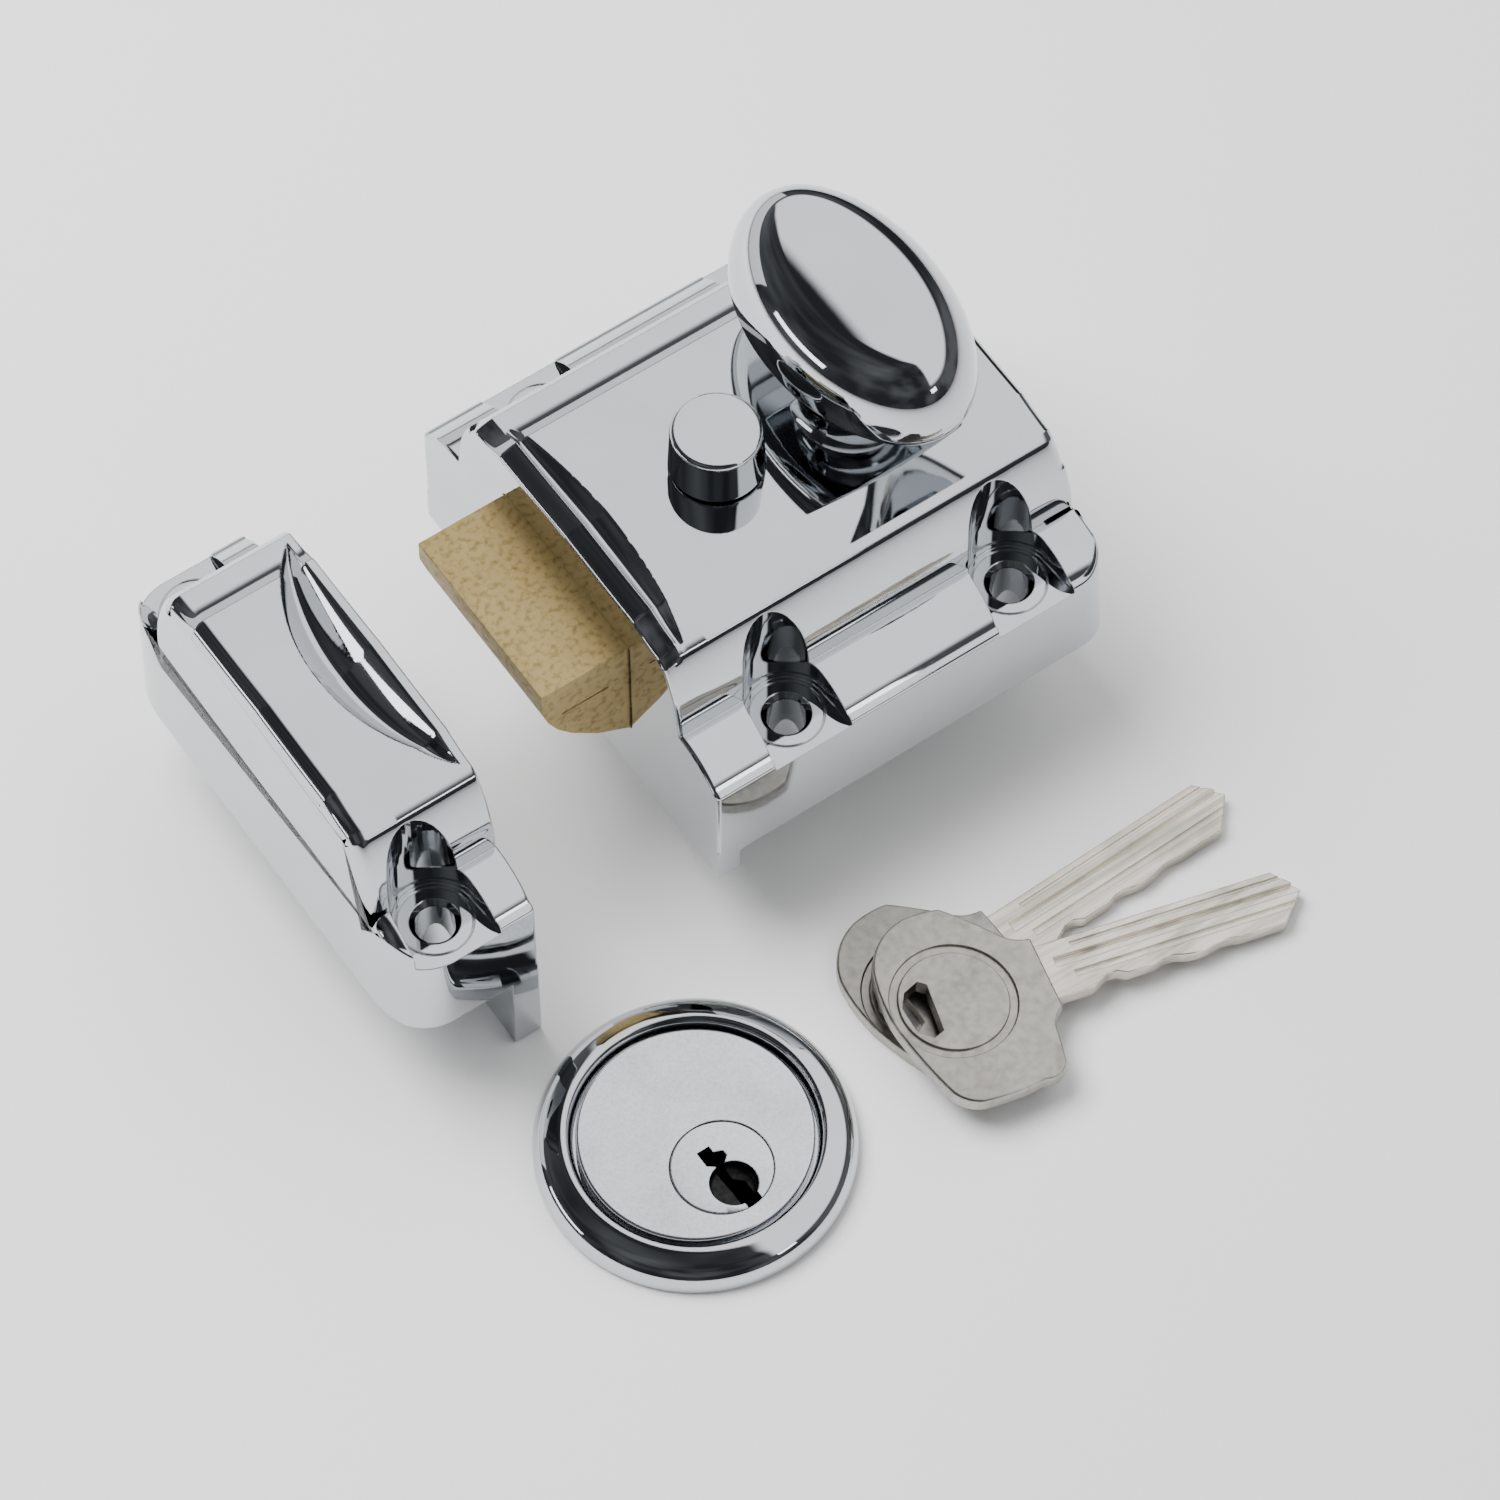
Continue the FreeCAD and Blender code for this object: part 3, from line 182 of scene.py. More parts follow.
def satin_metal(name, light, dark, rough, grain=1400, stretch=(1, 1, 1), depth=0.00002, edge=0.0002):
    """Plain or brushed metal with a fine grain, blotches and tiny pits."""
    nodes = Nodes(name)
    nodes.shader.inputs["Metallic"].default_value = 1
    lines = nodes.noise(grain, 4, stretch)
    blotch = nodes.noise(120, 3)
    base = nodes.ramp(lines, dark, light, (0.3, 0.62))
    worn = nodes.ramp(blotch, tuple(channel * 0.86 for channel in dark), light, (0.3, 0.55))
    nodes.link(nodes.mix(0.4, base, worn), nodes.shader.inputs["Base Color"])
    nodes.link(nodes.ramp(lines, rough * 1.25, rough * 0.8), nodes.shader.inputs["Roughness"])
    grainy = nodes.bump(lines, 0.5, depth, nodes.soft_edges(edge))
    nodes.link(grainy, nodes.shader.inputs["Normal"])
    return nodes.material


def cast_brass(name):
    """Satin cast brass: grainy skin, dark specks and a browner wash."""
    nodes = Nodes(name)
    nodes.shader.inputs["Metallic"].default_value = 0.85
    skin = nodes.noise(1100, 5)
    wash = nodes.noise(70, 4)
    warm = nodes.ramp(wash, (0.33, 0.22, 0.07), (0.52, 0.39, 0.17), (0.3, 0.65))
    speck = nodes.ramp(skin, (0.2, 0.13, 0.04), (0.58, 0.44, 0.2), (0.3, 0.52))
    nodes.link(nodes.mix(0.45, warm, speck), nodes.shader.inputs["Base Color"])
    nodes.link(nodes.ramp(skin, 0.58, 0.36), nodes.shader.inputs["Roughness"])
    cells = nodes.add("TexVoronoi", Scale=2600.0)
    nodes.link(nodes.coordinates(), cells.inputs["Vector"])
    rough = nodes.bump(skin, 0.6, 0.00008, nodes.soft_edges(0.00025))
    nodes.link(nodes.bump(cells.outputs["Distance"], 0.2, 0.00003, rough),
               nodes.shader.inputs["Normal"])
    return nodes.material


CHROME_TINT = (0.55, 0.57, 0.59)
LOOKS = {
    "case_chrome": chrome("case_chrome", CHROME_TINT),
    "staple_chrome": chrome("staple_chrome", CHROME_TINT),
    "knob_chrome": chrome("knob_chrome", CHROME_TINT, 0.025),
    "snib_chrome": chrome("snib_chrome", CHROME_TINT, 0.025),
    "ring_chrome": chrome("ring_chrome", CHROME_TINT, 0.025),
    "bolt_brass": cast_brass("bolt_brass"),
    "cylinder_brass": satin_metal("cylinder_brass", (0.63, 0.47, 0.2), (0.45, 0.32, 0.12), 0.3),
    "satin_face": satin_metal("satin_face", (0.74, 0.76, 0.78), (0.62, 0.64, 0.66), 0.2, 2400,
                              depth=0.000008),
    "zinc_plate": satin_metal("zinc_plate", (0.62, 0.6, 0.52), (0.42, 0.41, 0.37), 0.34),
    "zinc_screw": satin_metal("zinc_screw", (0.6, 0.59, 0.53), (0.4, 0.39, 0.36), 0.3),
    "spring_steel": satin_metal("spring_steel", (0.5, 0.5, 0.5), (0.3, 0.3, 0.31), 0.25),
    "steel_drive": satin_metal("steel_drive", (0.5, 0.5, 0.49), (0.32, 0.32, 0.32), 0.36),
    "key_bow": satin_metal("key_bow", (0.46, 0.44, 0.4), (0.33, 0.315, 0.285), 0.34, 900),
    "key_blade": satin_metal("key_blade", (0.78, 0.73, 0.64), (0.36, 0.34, 0.29), 0.24, 700,
                             (0.05, 1.6, 1.6), 0.00005),
    # keyway_dark is painted shade: a near-black colour for the plug's keyway, entry dish, bar slot
    # and pin bores, whose walls are plug metal in shade
    "keyway_dark": satin_metal("keyway_dark", (0.05, 0.05, 0.05), (0.02, 0.02, 0.02), 0.5),
}


# ---------------------------------------------------------------- mesh helpers
def make_piece(name, vertices, faces, look):
    """Mesh object from points in mm."""
    mesh = bpy.data.meshes.new(name)
    mesh.from_pydata([tuple(MM * value for value in point) for point in vertices], [], faces)
    mesh.materials.append(LOOKS[look])
    piece = bpy.data.objects.new(name, mesh)
    bpy.context.scene.collection.objects.link(piece)
    builder = bmesh.new()
    builder.from_mesh(mesh)
    bmesh.ops.recalc_face_normals(builder, faces=builder.faces)
    builder.to_mesh(mesh)
    builder.free()
    return piece


def apply_modifier(piece, kind, **settings):
    modifier = piece.modifiers.new(kind.lower(), kind)
    for key, value in settings.items():
        setattr(modifier, key, value)
    with bpy.context.temp_override(object=piece, active_object=piece,
                                   selected_objects=[piece]):
        bpy.ops.object.modifier_apply(modifier=modifier.name)


def carve(piece, tools, operation="DIFFERENCE"):
    """Cut tools out of a piece, or join them to it, and drop the tools."""
    for tool in tools:
        apply_modifier(piece, "BOOLEAN", operation=operation, solver="MANIFOLD", object=tool,
                       material_mode="TRANSFER")
        bpy.data.objects.remove(tool)
    return piece


def shade(piece, angle=30):
    """Smooth shading that breaks at the sharp edges."""
    mesh = piece.data
    mesh.shade_smooth()
    mesh.set_sharp_from_angle(angle=math.radians(angle))
    apply_modifier(piece, "WEIGHTED_NORMAL", keep_sharp=True, weight=80)
    return piece


def prism(name, outline, low, high, look, axis="z"):
    """Straight block of an outline in mm between two levels of an axis."""
    order = {"z": lambda a, b, c: (a, b, c), "x": lambda a, b, c: (c, a, b),
             "y": lambda a, b, c: (a, c, b)}[axis]
    count = len(outline)
    vertices = [order(a, b, level) for level in (low, high) for a, b in outline]
    faces = [tuple(range(count)), tuple(range(count, 2 * count))]
    faces += [(i, (i + 1) % count, count + (i + 1) % count, count + i) for i in range(count)]
    return make_piece(name, vertices, faces, look)


def rounded_box(left, low, right, high, radius, steps=6):
    """Outline of a rectangle with round corners."""
    points = []
    corners = ((right, high, 0), (left, high, 90), (left, low, 180), (right, low, 270))
    for x, y, start in corners:
        centre_x = x + (radius if x == left else -radius)
        centre_y = y + (radius if y == low else -radius)
        for step in range(steps + 1):
            turn = math.radians(start + 90 * step / steps)
            points.append((centre_x + radius * math.cos(turn), centre_y + radius * math.sin(turn)))
    return points


def circle(x, y, radius, steps=64):
    return [(x + radius * math.cos(2 * math.pi * i / steps),
             y + radius * math.sin(2 * math.pi * i / steps)) for i in range(steps)]


def lathe(name, profile, centre, look, steps=96, shape=None):
    """Turn a profile of (radius, height) in mm; the ends close on the axis."""
    vertices, faces, rows = [], [], []
    for radius, height in profile:
        rows.append(len(vertices))
        if radius == 0:
            vertices.append((centre[0], centre[1], height))
            continue
        for step in range(steps):
            turn = 2 * math.pi * step / steps
            across, up = shape(radius, height, turn) if shape else (
                radius * math.cos(turn), radius * math.sin(turn))
            vertices.append((centre[0] + across, centre[1] + up, height))
    for index in range(len(profile) - 1):
        first, second = rows[index], rows[index + 1]
        for step in range(steps):
            after = (step + 1) % steps
            if profile[index][0] == 0:
                faces.append((first, second + step, second + after))
            elif profile[index + 1][0] == 0:
                faces.append((first + step, second, first + after))
            else:
                faces.append((first + step, second + step, second + after, first + after))
    return make_piece(name, vertices, faces, look)


def arc(centre_x, centre_y, radius, start, end, steps=8):
    """Points of an arc between two angles in degrees."""
    turns = [math.radians(start + (end - start) * i / steps) for i in range(steps + 1)]
    return [(centre_x + radius * math.cos(t), centre_y + radius * math.sin(t)) for t in turns]


def bow_between(start, end, radius, steps):
    """Points after start up to end along an arc; a positive radius bulges left of the way."""
    first, last = Vector(start), Vector(end)
    chord = last - first
    left = Vector((-chord.y, chord.x)).normalized()
    rise = math.sqrt(radius ** 2 - (chord.length / 2) ** 2)
    centre = (first + last) / 2 - left * math.copysign(rise, radius)
    begin = math.atan2(*reversed(first - centre))
    sweep = 2 * math.asin(chord.length / 2 / abs(radius)) * (-1 if radius > 0 else 1)
    return [tuple(centre + abs(radius) * Vector((math.cos(begin + sweep * i / steps),
                                                 math.sin(begin + sweep * i / steps))))
            for i in range(1, steps + 1)]


def bmesh_weld(piece, distance=0.00001):
    """Close a ring section that starts and ends on the same points."""
    builder = bmesh.new()
    builder.from_mesh(piece.data)
    bmesh.ops.remove_doubles(builder, verts=builder.verts, dist=distance)
    bmesh.ops.recalc_face_normals(builder, faces=builder.faces)
    builder.to_mesh(piece.data)
    builder.free()


def finish_piece(piece, body, slot, *nodes):
    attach(piece, body)
    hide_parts(*nodes)
    return piece


# ---------------------------------------------------------------- cast covers
COVE_STEPS = 26
ROLL_STEPS = 18
CROWN_STEPS = 48
RIM_STEPS = 5


def half_section(half, foot, rim_round):
    """One side of the section from its foot to the middle, as (distance, height)."""
    rim_low = bow_between((HALF_WIDTH, RIM_HEIGHT), COVE_MID, -COVE_LOW_RADIUS, COVE_STEPS)
    outer = [(HALF_WIDTH, RIM_HEIGHT)] + rim_low
    stretch = (half - COVE_MID[0]) / (HALF_WIDTH - COVE_MID[0])

    def cove_height(distance):
        for (a, b), (c, d) in zip(outer, outer[1:]):
            if c <= distance <= a:
                return b + (d - b) * (distance - a) / (c - a)
        return RIM_HEIGHT

    corner = cove_height(half - rim_round) - rim_round
    points = [(half, foot), (half, (foot + corner) / 2)]
    points += arc(half - rim_round, corner, rim_round, 0, 72, RIM_STEPS)
    inner_start = half - rim_round
    for distance, _ in rim_low:
        place = COVE_MID[0] + (distance - COVE_MID[0]) * stretch
        if place < inner_start - 0.15:
            points.append((place, cove_height(place)))
        else:
            points.append((inner_start - 0.15 * (1 + len(points) - RIM_STEPS) / COVE_STEPS, None))
    points = [(a, cove_height(a) if b is None else b) for a, b in points]
    points += bow_between(COVE_MID, CREST, -COVE_HIGH_RADIUS, COVE_STEPS)
    points += [(CREST[0] - 0.12, CREST[1] + 0.16), BAND]
    points += bow_between(BAND, ROLL, ROLL_RADIUS, ROLL_STEPS)
    points += bow_between(ROLL, (0, TOP), CROWN_RADIUS, CROWN_STEPS)
    return points


def section(half, foot, rim_round):
    right = half_section(half, foot, rim_round)
    return right + [(-a, b) for a, b in reversed(right[:-1])]


def pulled_in(points, amounts):
    """Move each point of a section inwards by its own amount."""
    moved = []
    last = len(points) - 1
    for index, (point, amount) in enumerate(zip(points, amounts)):
        before = Vector(points[max(index - 1, 0)])
        after = Vector(points[min(index + 1, last)])
        along = (after - before).normalized()
        inward = Vector((-along.y, along.x))
        place = Vector(point) + inward * amount
        moved.append((place.x, max(place.y, points[0][1])))
    return moved


def edge_pull(distance, radius):
    if distance >= radius:
        return 0
    return radius - math.sqrt(radius ** 2 - (radius - distance) ** 2)


def cast_cover(name, stations, foot, rim_round, half_at, pull_at, drop_at, lean, look):
    """Closed cover lofted along X: half_at, pull_at and drop_at shape each station."""
    vertices, faces = [], []
    for x in stations:
        points = section(half_at(x), foot, rim_round)
        points = pulled_in(points, [pull_at(x, height) for _, height in points])
        for across, height in points:
            height -= drop_at(x, across) if abs(across) < CREST[0] and height > CREST[1] - 6 else 0
            vertices.append((lean(x, height), across, height))
    count = len(points)
    for index in range(len(stations) - 1):
        start = index * count
        for step in range(count):
            after = (step + 1) % count
            faces.append((start + step, start + after, start + count + after,
                          start + count + step))
    faces.append(tuple(range(count)))
    faces.append(tuple(range(len(vertices) - count, len(vertices))))
    return make_piece(name, vertices, faces, look)


def seat_tools(x, y, look):
    """Cutters for a screw's open bay, its bevelled hole and the line round its seat."""
    side = math.copysign(1, y)
    bay = [(x + a, y - side * b) for a, b in arc(0, 0, SEAT_RADIUS, 0, 180, 24)]
    wide = SEAT_RADIUS + SEAT_FLARE
    bay += [(x - wide, side * (HALF_WIDTH + 1)), (x + wide, side * (HALF_WIDTH + 1))]
    hole = [(0, -20), (SCREW_RADIUS, -20), (SCREW_RADIUS, SEAT_HEIGHT - 0.8),
            (SCREW_RADIUS + 0.6, SEAT_HEIGHT), (SCREW_RADIUS + 0.6, SEAT_HEIGHT + 1),
            (0, SEAT_HEIGHT + 1)]
    line = [(SEAT_RADIUS - 0.75, SEAT_HEIGHT - 0.14), (SEAT_RADIUS - 0.6, SEAT_HEIGHT - 0.14),
            (SEAT_RADIUS - 0.5, SEAT_HEIGHT + 1), (SEAT_RADIUS - 0.85, SEAT_HEIGHT + 1)]
    tools = [prism("bay", bay, SEAT_HEIGHT, 60, look),
             lathe("seat_hole", hole, (x, y), look, 64),
             lathe("seat_line", line + line[:1], (x, y), look, 64)]
    bmesh_weld(tools[2])
    return tools


def spread(start, end, count):
    return [start + (end - start) * i / count for i in range(count + 1)]


def round_stations(edge, radius, sign):
    """Stations that bunch towards a rounded edge."""
    return [edge + sign * radius * (1 - math.cos(math.radians(turn)))
            for turn in (0, 15, 30, 45, 60, 75, 90)]


# ---------------------------------------------------------------- case
CASE_FRONT_ROUND = 0.5
CASE_REAR_ROUND = 1.6
CASE_CORNER = 4.8
CASE_DRAFT = 2.2


def lens(value, low, high):
    """Smooth bump that is 0 outside low..high and 1 in the middle."""
    if not low < value < high:
        return 0
    return math.sin(math.pi * (value - low) / (high - low)) ** 0.8


def case_half(x):
    into = x - (CASE_HIGH.x - CASE_CORNER)
    if into <= 0:
        return HALF_WIDTH
    return HALF_WIDTH - CASE_CORNER + math.sqrt(max(CASE_CORNER ** 2 - into ** 2, 0))


def case_pull(x, height):
    front = edge_pull(x - CASE_LOW.x, CASE_FRONT_ROUND)
    rear = edge_pull(CASE_HIGH.x - x, CASE_REAR_ROUND if height > CREST[1] - 4 else 0.8)
    return front + rear


SCOOP_RIDGE = 3.0


def case_drop(x, y):
    """Soft roll to the front edge, with a finger scoop behind a ridge."""
    lead = max(SCOOP_RIDGE - x, 0) / SCOOP_RIDGE
    roll = 0.9 * lead ** 1.5
    reach = lens(y, -21, 18)
    trough = 0
    if x > SCOOP_RIDGE - 0.1:
        across = (x - SCOOP_RIDGE) / (0.8 + 2.6 * reach)
        trough = 1.3 * reach * math.sin(math.pi * min(max(across, 0), 1) ** 0.6)
    return roll + trough


def make_case():
    body_end = CASE_HIGH.x
    stations = round_stations(0, CASE_FRONT_ROUND, 1)
    stations += spread(0.7, 7.0, 36) + spread(8, body_end - CASE_CORNER, 20)
    into = [CASE_CORNER * math.sin(math.radians(turn)) for turn in range(9, 64, 9)]
    stations += [body_end - CASE_CORNER + step for step in into]
    stations += [body_end - gap for gap in (0.45, 0.35, 0.25, 0.16, 0.09, 0.04, 0.0)]

    def lean(x, height):
        return x * (1 - CASE_DRAFT / body_end * max(height, 0) / TOP)

    cover = cast_cover("case_cover", stations, 0, 0.9, case_half, case_pull, case_drop, lean,
                       "case_chrome")
    lip = prism("lip", rounded_box(-HALF_WIDTH, CASE_LOW.z, HALF_WIDTH, 2, 0.3, 3),
                0.02, 3.4, "case_chrome", "x")
    carve(cover, [lip], "UNION")
    mouth = prism("mouth", rounded_box(-14.4, 6.2, 14.4, 25.8, 0.8), -2, 5, "case_chrome", "x")
    room = prism("room", rounded_box(3.4, -14.4, 57, 14.4, 1.5), -1, 30.8, "case_chrome")
    recess = prism("recess", rounded_box(3.4, -18.5, 57, 18.5, 2), -1, 4.2, "case_chrome")
    bore = prism("bore", circle(SPINDLE.x, SPINDLE.y, 4.25), 29, 40, "case_chrome")
    snib_low, snib_high = box_mm("snib_button")
    middle_x = (snib_low.x + snib_high.x) / 2
    middle_y = (snib_low.y + snib_high.y) / 2
    track = prism("track", rounded_box(middle_x - 1.95, middle_y - 1.95, middle_x + 1.95,
                                       middle_y + 5.95, 1.94), 29, 40, "case_chrome")
    carve(cover, [mouth, room, recess, bore, track])
    for x, y in hole_points("case_screw_holes"):
        carve(cover, seat_tools(x, y, "case_chrome"))
    return finish_piece(shade(cover), "case", "case_chrome", "case_shell")


# ---------------------------------------------------------------- staple
STAPLE_ROUND = 2.0
STAPLE_CORNER = 7
STAPLE_DRAFT = 1.1
STAPLE_LIP = 3.9


def staple_half(x):
    into = STAPLE_CORNER - (x - STAPLE_LOW.x)
    if into <= 0:
        return HALF_WIDTH
    return HALF_WIDTH - STAPLE_CORNER + math.sqrt(max(STAPLE_CORNER ** 2 - into ** 2, 0))


def staple_pull(x, height):
    left = edge_pull(x - STAPLE_LOW.x, STAPLE_ROUND)
    return left + edge_pull(STAPLE_HIGH.x - x, 0.35)


def staple_drop(x, y):
    """Half-lens finger scoop: curved steep wall on the left, straight rim on the right."""
    rim = STAPLE_HIGH.x - 1.4
    reach = 19.5
    if abs(y) >= reach or x >= rim:
        return 0
    sagitta = 8.6
    radius = (reach ** 2 + sagitta ** 2) / (2 * sagitta)
    wide = math.sqrt(radius ** 2 - y ** 2) - (radius - sagitta)
    across = (rim - x) / max(wide, 0.01)
    if across >= 1:
        return 0
    depth = 3.4 * (wide / sagitta) ** 0.8
    return depth * math.sin(math.pi * across ** 1.25)


def make_staple():
    left, right = STAPLE_LOW.x, STAPLE_HIGH.x
    stations = round_stations(left, STAPLE_ROUND, 1)
    stations += spread(left + 2.6, left + STAPLE_CORNER, 8) + spread(left + 7.2, right - 0.6, 84)
    stations += list(reversed(round_stations(right, 0.35, -1)))

    def lean(x, height):
        return right - (right - x) * (1 - STAPLE_DRAFT / (right - left) * max(height, 0) / TOP)

    cover = cast_cover("staple_cover", stations, 0, 1.0, staple_half, staple_pull, staple_drop,
                       lean, "staple_chrome")
    lip = prism("lip", rounded_box(-HALF_WIDTH, STAPLE_LOW.z, HALF_WIDTH, 2, 0.3, 3),
                right - STAPLE_LIP, right - 0.02, "staple_chrome", "x")
    carve(cover, [lip], "UNION")
    pocket = prism("pocket", rounded_box(-15.5, 3.4, 15.5, 27.6, 0.8), left + 3.6, right + 3,
                   "staple_chrome", "x")
    carve(cover, [pocket])
    for x, y in hole_points("staple_screw_holes"):
        carve(cover, seat_tools(x, y, "staple_chrome"))
    return finish_piece(shade(cover), "keeper", "staple_chrome", "staple")


# ---------------------------------------------------------------- knob and snib
KNOB_CROWN = 0.5
KNOB_ROLL = 6.0
KNOB_ROLL_START = 9
KNOB_SHOULDER = 9.3
KNOB_UNDER = 2.5


def make_knob():
    low, high = box_mm("knob")
    long_half, short_half = (high.y - low.y) / 2, (high.x - low.x) / 2
    flat = short_half - KNOB_ROLL
    start = math.radians(KNOB_ROLL_START)
    across = KNOB_ROLL / (1 - math.sin(start))
    deep = KNOB_SHOULDER / math.cos(start)
    equator = high.z - KNOB_CROWN - KNOB_SHOULDER
    profile = [(0, high.z)]
    profile += [(flat * step / 12, high.z - KNOB_CROWN * (step / 12) ** 2) for step in range(1, 13)]
    for step in range(1, 15):
        turn = start + (math.pi / 2 - start) * step / 14
        profile.append((short_half - across * (1 - math.sin(turn)), equator + deep * math.cos(turn)))
    profile += [(short_half - KNOB_UNDER * (1 - math.cos(math.radians(turn))),
                 equator - KNOB_UNDER * math.sin(math.radians(turn))) for turn in range(8, 91, 8)]
    neck_top = profile[-1][1] - 0.4
    foot = low.z
    profile += [(7.4, neck_top), (6.8, neck_top - 0.9), (6.35, neck_top - 2.2),
                (6.25, (neck_top + foot) / 2), (6.6, foot + 1.8), (7.6, foot + 0.6), (8.2, foot),
                (4.2, foot), (4.2, foot + 1), (0, foot + 1)]
    blend_from = neck_top + 0.2

    def oval(radius, height, turn):
        extra = long_half - short_half
        spread_out = min(max((height - blend_from) / 0.2, 0), 1)
        if height > high.z - KNOB_CROWN and radius < flat + 0.01:
            spread_out = radius / flat
        return radius * math.cos(turn), (radius + extra * spread_out) * math.sin(turn)

    knob = lathe("knob_head", profile, (SPINDLE.x, SPINDLE.y), "knob_chrome", 128, oval)
    return finish_piece(shade(knob, 40), "turn", "knob_chrome", "knob")


def make_snib():
    low, high = box_mm("snib_button")
    radius = (high.x - low.x) / 2
    top = high.z
    profile = [(0, top + 0.0), (radius * 0.55, top - 0.02), (radius - 0.95, top - 0.1)]
    profile += arc(radius - 0.95, top - 0.7, 0.6, 80, 10, 5)
    profile += [(radius - 0.3, top - 1.0), (radius, low.z + 0.5), (radius - 0.15, low.z),
                (2, low.z), (0, low.z)]
    centre = ((low.x + high.x) / 2, (low.y + high.y) / 2)
    button = lathe("snib_cap", profile, centre, "snib_chrome", 96)
    return finish_piece(shade(button, 35), "snib", "snib_chrome", "snib_button")


# ---------------------------------------------------------------- bolt
def make_bolt():
    low, high = box_mm("latch_bolt")
    side = [(low.x, 22), (low.x + 0.9, 18.7), (low.x + 2.3, 15.9), (low.x + 4.3, 13.3),
            (low.x + 8.2, 9.6), (low.x + 13.1, 6.5), (24, 6.5), (24, high.z), (low.x, high.z)]
    bolt = prism("bolt_head", side, -14, 14, "bolt_brass", "y")
    for fork in (1, -1):
        tail = prism("tail", [(23.9, 7.4 * fork), (high.x, 7.4 * fork), (high.x, high.y * fork),
                              (23.9, high.y * fork)], 8, 12, "bolt_brass")
        carve(bolt, [tail], "UNION")
    centre = SPINDLE.x - 10.19 * math.sin(math.radians(40))
    slits = [prism("slit", rounded_box(centre - 2.65, -12.69, centre + 2.65, 12.69, 0.2), 7, 13,
                   "bolt_brass")]
    for fork in (1, -1):
        slits.append(prism("pocket", circle(9.5 * fork, 18.5, 3.4, 40), 5.2, 25, "bolt_brass",
                           "x"))
    slits.append(prism("line", [(low.x + 3, 19.0), (low.x + 10, 19.0), (low.x + 10, 19.3),
                                (low.x + 3, 19.3)], -15, -13.7, "bolt_brass", "y"))
    snib_low, snib_high = box_mm("snib_button")
    peg_x = (snib_low.x + snib_high.x) / 2
    peg_y = (snib_low.y + snib_high.y) / 2
    slits.append(prism("groove", rounded_box(peg_x - 14.95, peg_y - 1.85, peg_x + 1.85,
                                             peg_y + 1.85, 0.3), 22.5, 27, "bolt_brass"))
    for notch in (peg_x - 13.1, peg_x):
        slits.append(prism("notch", rounded_box(notch - 1.85, peg_y, notch + 1.85, peg_y + 5.85,
                                                0.3), 22.5, 27, "bolt_brass"))
    carve(bolt, slits)
    apply_modifier(bolt, "BEVEL", width=0.00022, segments=3, limit_method="ANGLE",
                   angle_limit=math.radians(40), use_clamp_overlap=True)
    return finish_piece(shade(bolt, 22), "bolt", "bolt_brass", "latch_bolt")


# ---------------------------------------------------------------- rim cylinder
def make_ring():
    low, high = box_mm("rim_ring")
    centre = ((low.x + high.x) / 2, (low.y + high.y) / 2)
    outer = high.x - centre[0]
    base, top = low.z, high.z
    profile = [(15.6, base), (outer - 0.4, base), (outer, base + 0.35), (outer, base + 0.9)]
    profile += [(17.6 + (outer - 17.6) * math.cos(math.radians(turn)),
                 base + 0.9 + (top - base - 1.25) * math.sin(math.radians(turn)))
                for turn in range(10, 76, 8)]
    profile += [(17.5, top - 0.15), (16.9, top), (16.35, top - 0.12), (15.95, top - 0.6),
                (15.6, top - 1.6), (15.6, base + 1.8), (14.6, base + 1.8), (14.6, base),
                (15.6, base)]
    ring = lathe("ring_turned", profile, centre, "ring_chrome", 160)
    bmesh_weld(ring)
    return finish_piece(shade(ring, 35), "cylinder", "ring_chrome", "rim_ring")


def make_cylinder():
    low, high = box_mm("cylinder_body")
    ring_low, ring_high = box_mm("rim_ring")
    centre = ((ring_low.x + ring_high.x) / 2, (ring_low.y + ring_high.y) / 2)
    face = high.z
    base = ring_low.z
    profile = [(0, face), (14.75, face)] + arc(14.8, face - 0.35, 0.35, 80, 0, 4)
    profile += [(15.15, base + 1.9), (14.2, base + 1.9), (14.2, low.z + 0.4), (13.8, low.z),
                (0, low.z)]
    body = lathe("cylinder_turned", profile, centre, "satin_face", 128)
    bore = prism("bore", circle(PLUG_AXIS.x, PLUG_AXIS.y, 6.68, 96), low.z - 2, face + 2,
                 "satin_face")
    chambers = [prism("chamber", circle(PLUG_AXIS.x, base - 5.2 - 4 * number, 1.5, 32),
                      PLUG_AXIS.y + 5, centre[1] + 16, "satin_face", "y") for number in range(5)]
    strip_low, strip_high = box_mm("chamber_cover")
    channel = prism("channel", [(strip_low.x - 0.05, strip_low.z - 0.05),
                                (strip_high.x + 0.05, strip_low.z - 0.05),
                                (strip_high.x + 0.05, strip_high.z + 0.05),
                                (strip_low.x - 0.05, strip_high.z + 0.05)],
                    strip_low.y - 0.05, centre[1] + 16, "satin_face", "y")
    holes = [prism("hole", circle(x, y, 2.1, 32), low.z - 1, low.z + 12, "satin_face")
             for x, y in hole_points("connecting_screw_holes")]
    carve(body, [bore, channel] + chambers + holes)
    return finish_piece(shade(body), "cylinder", "satin_face", "cylinder_body")


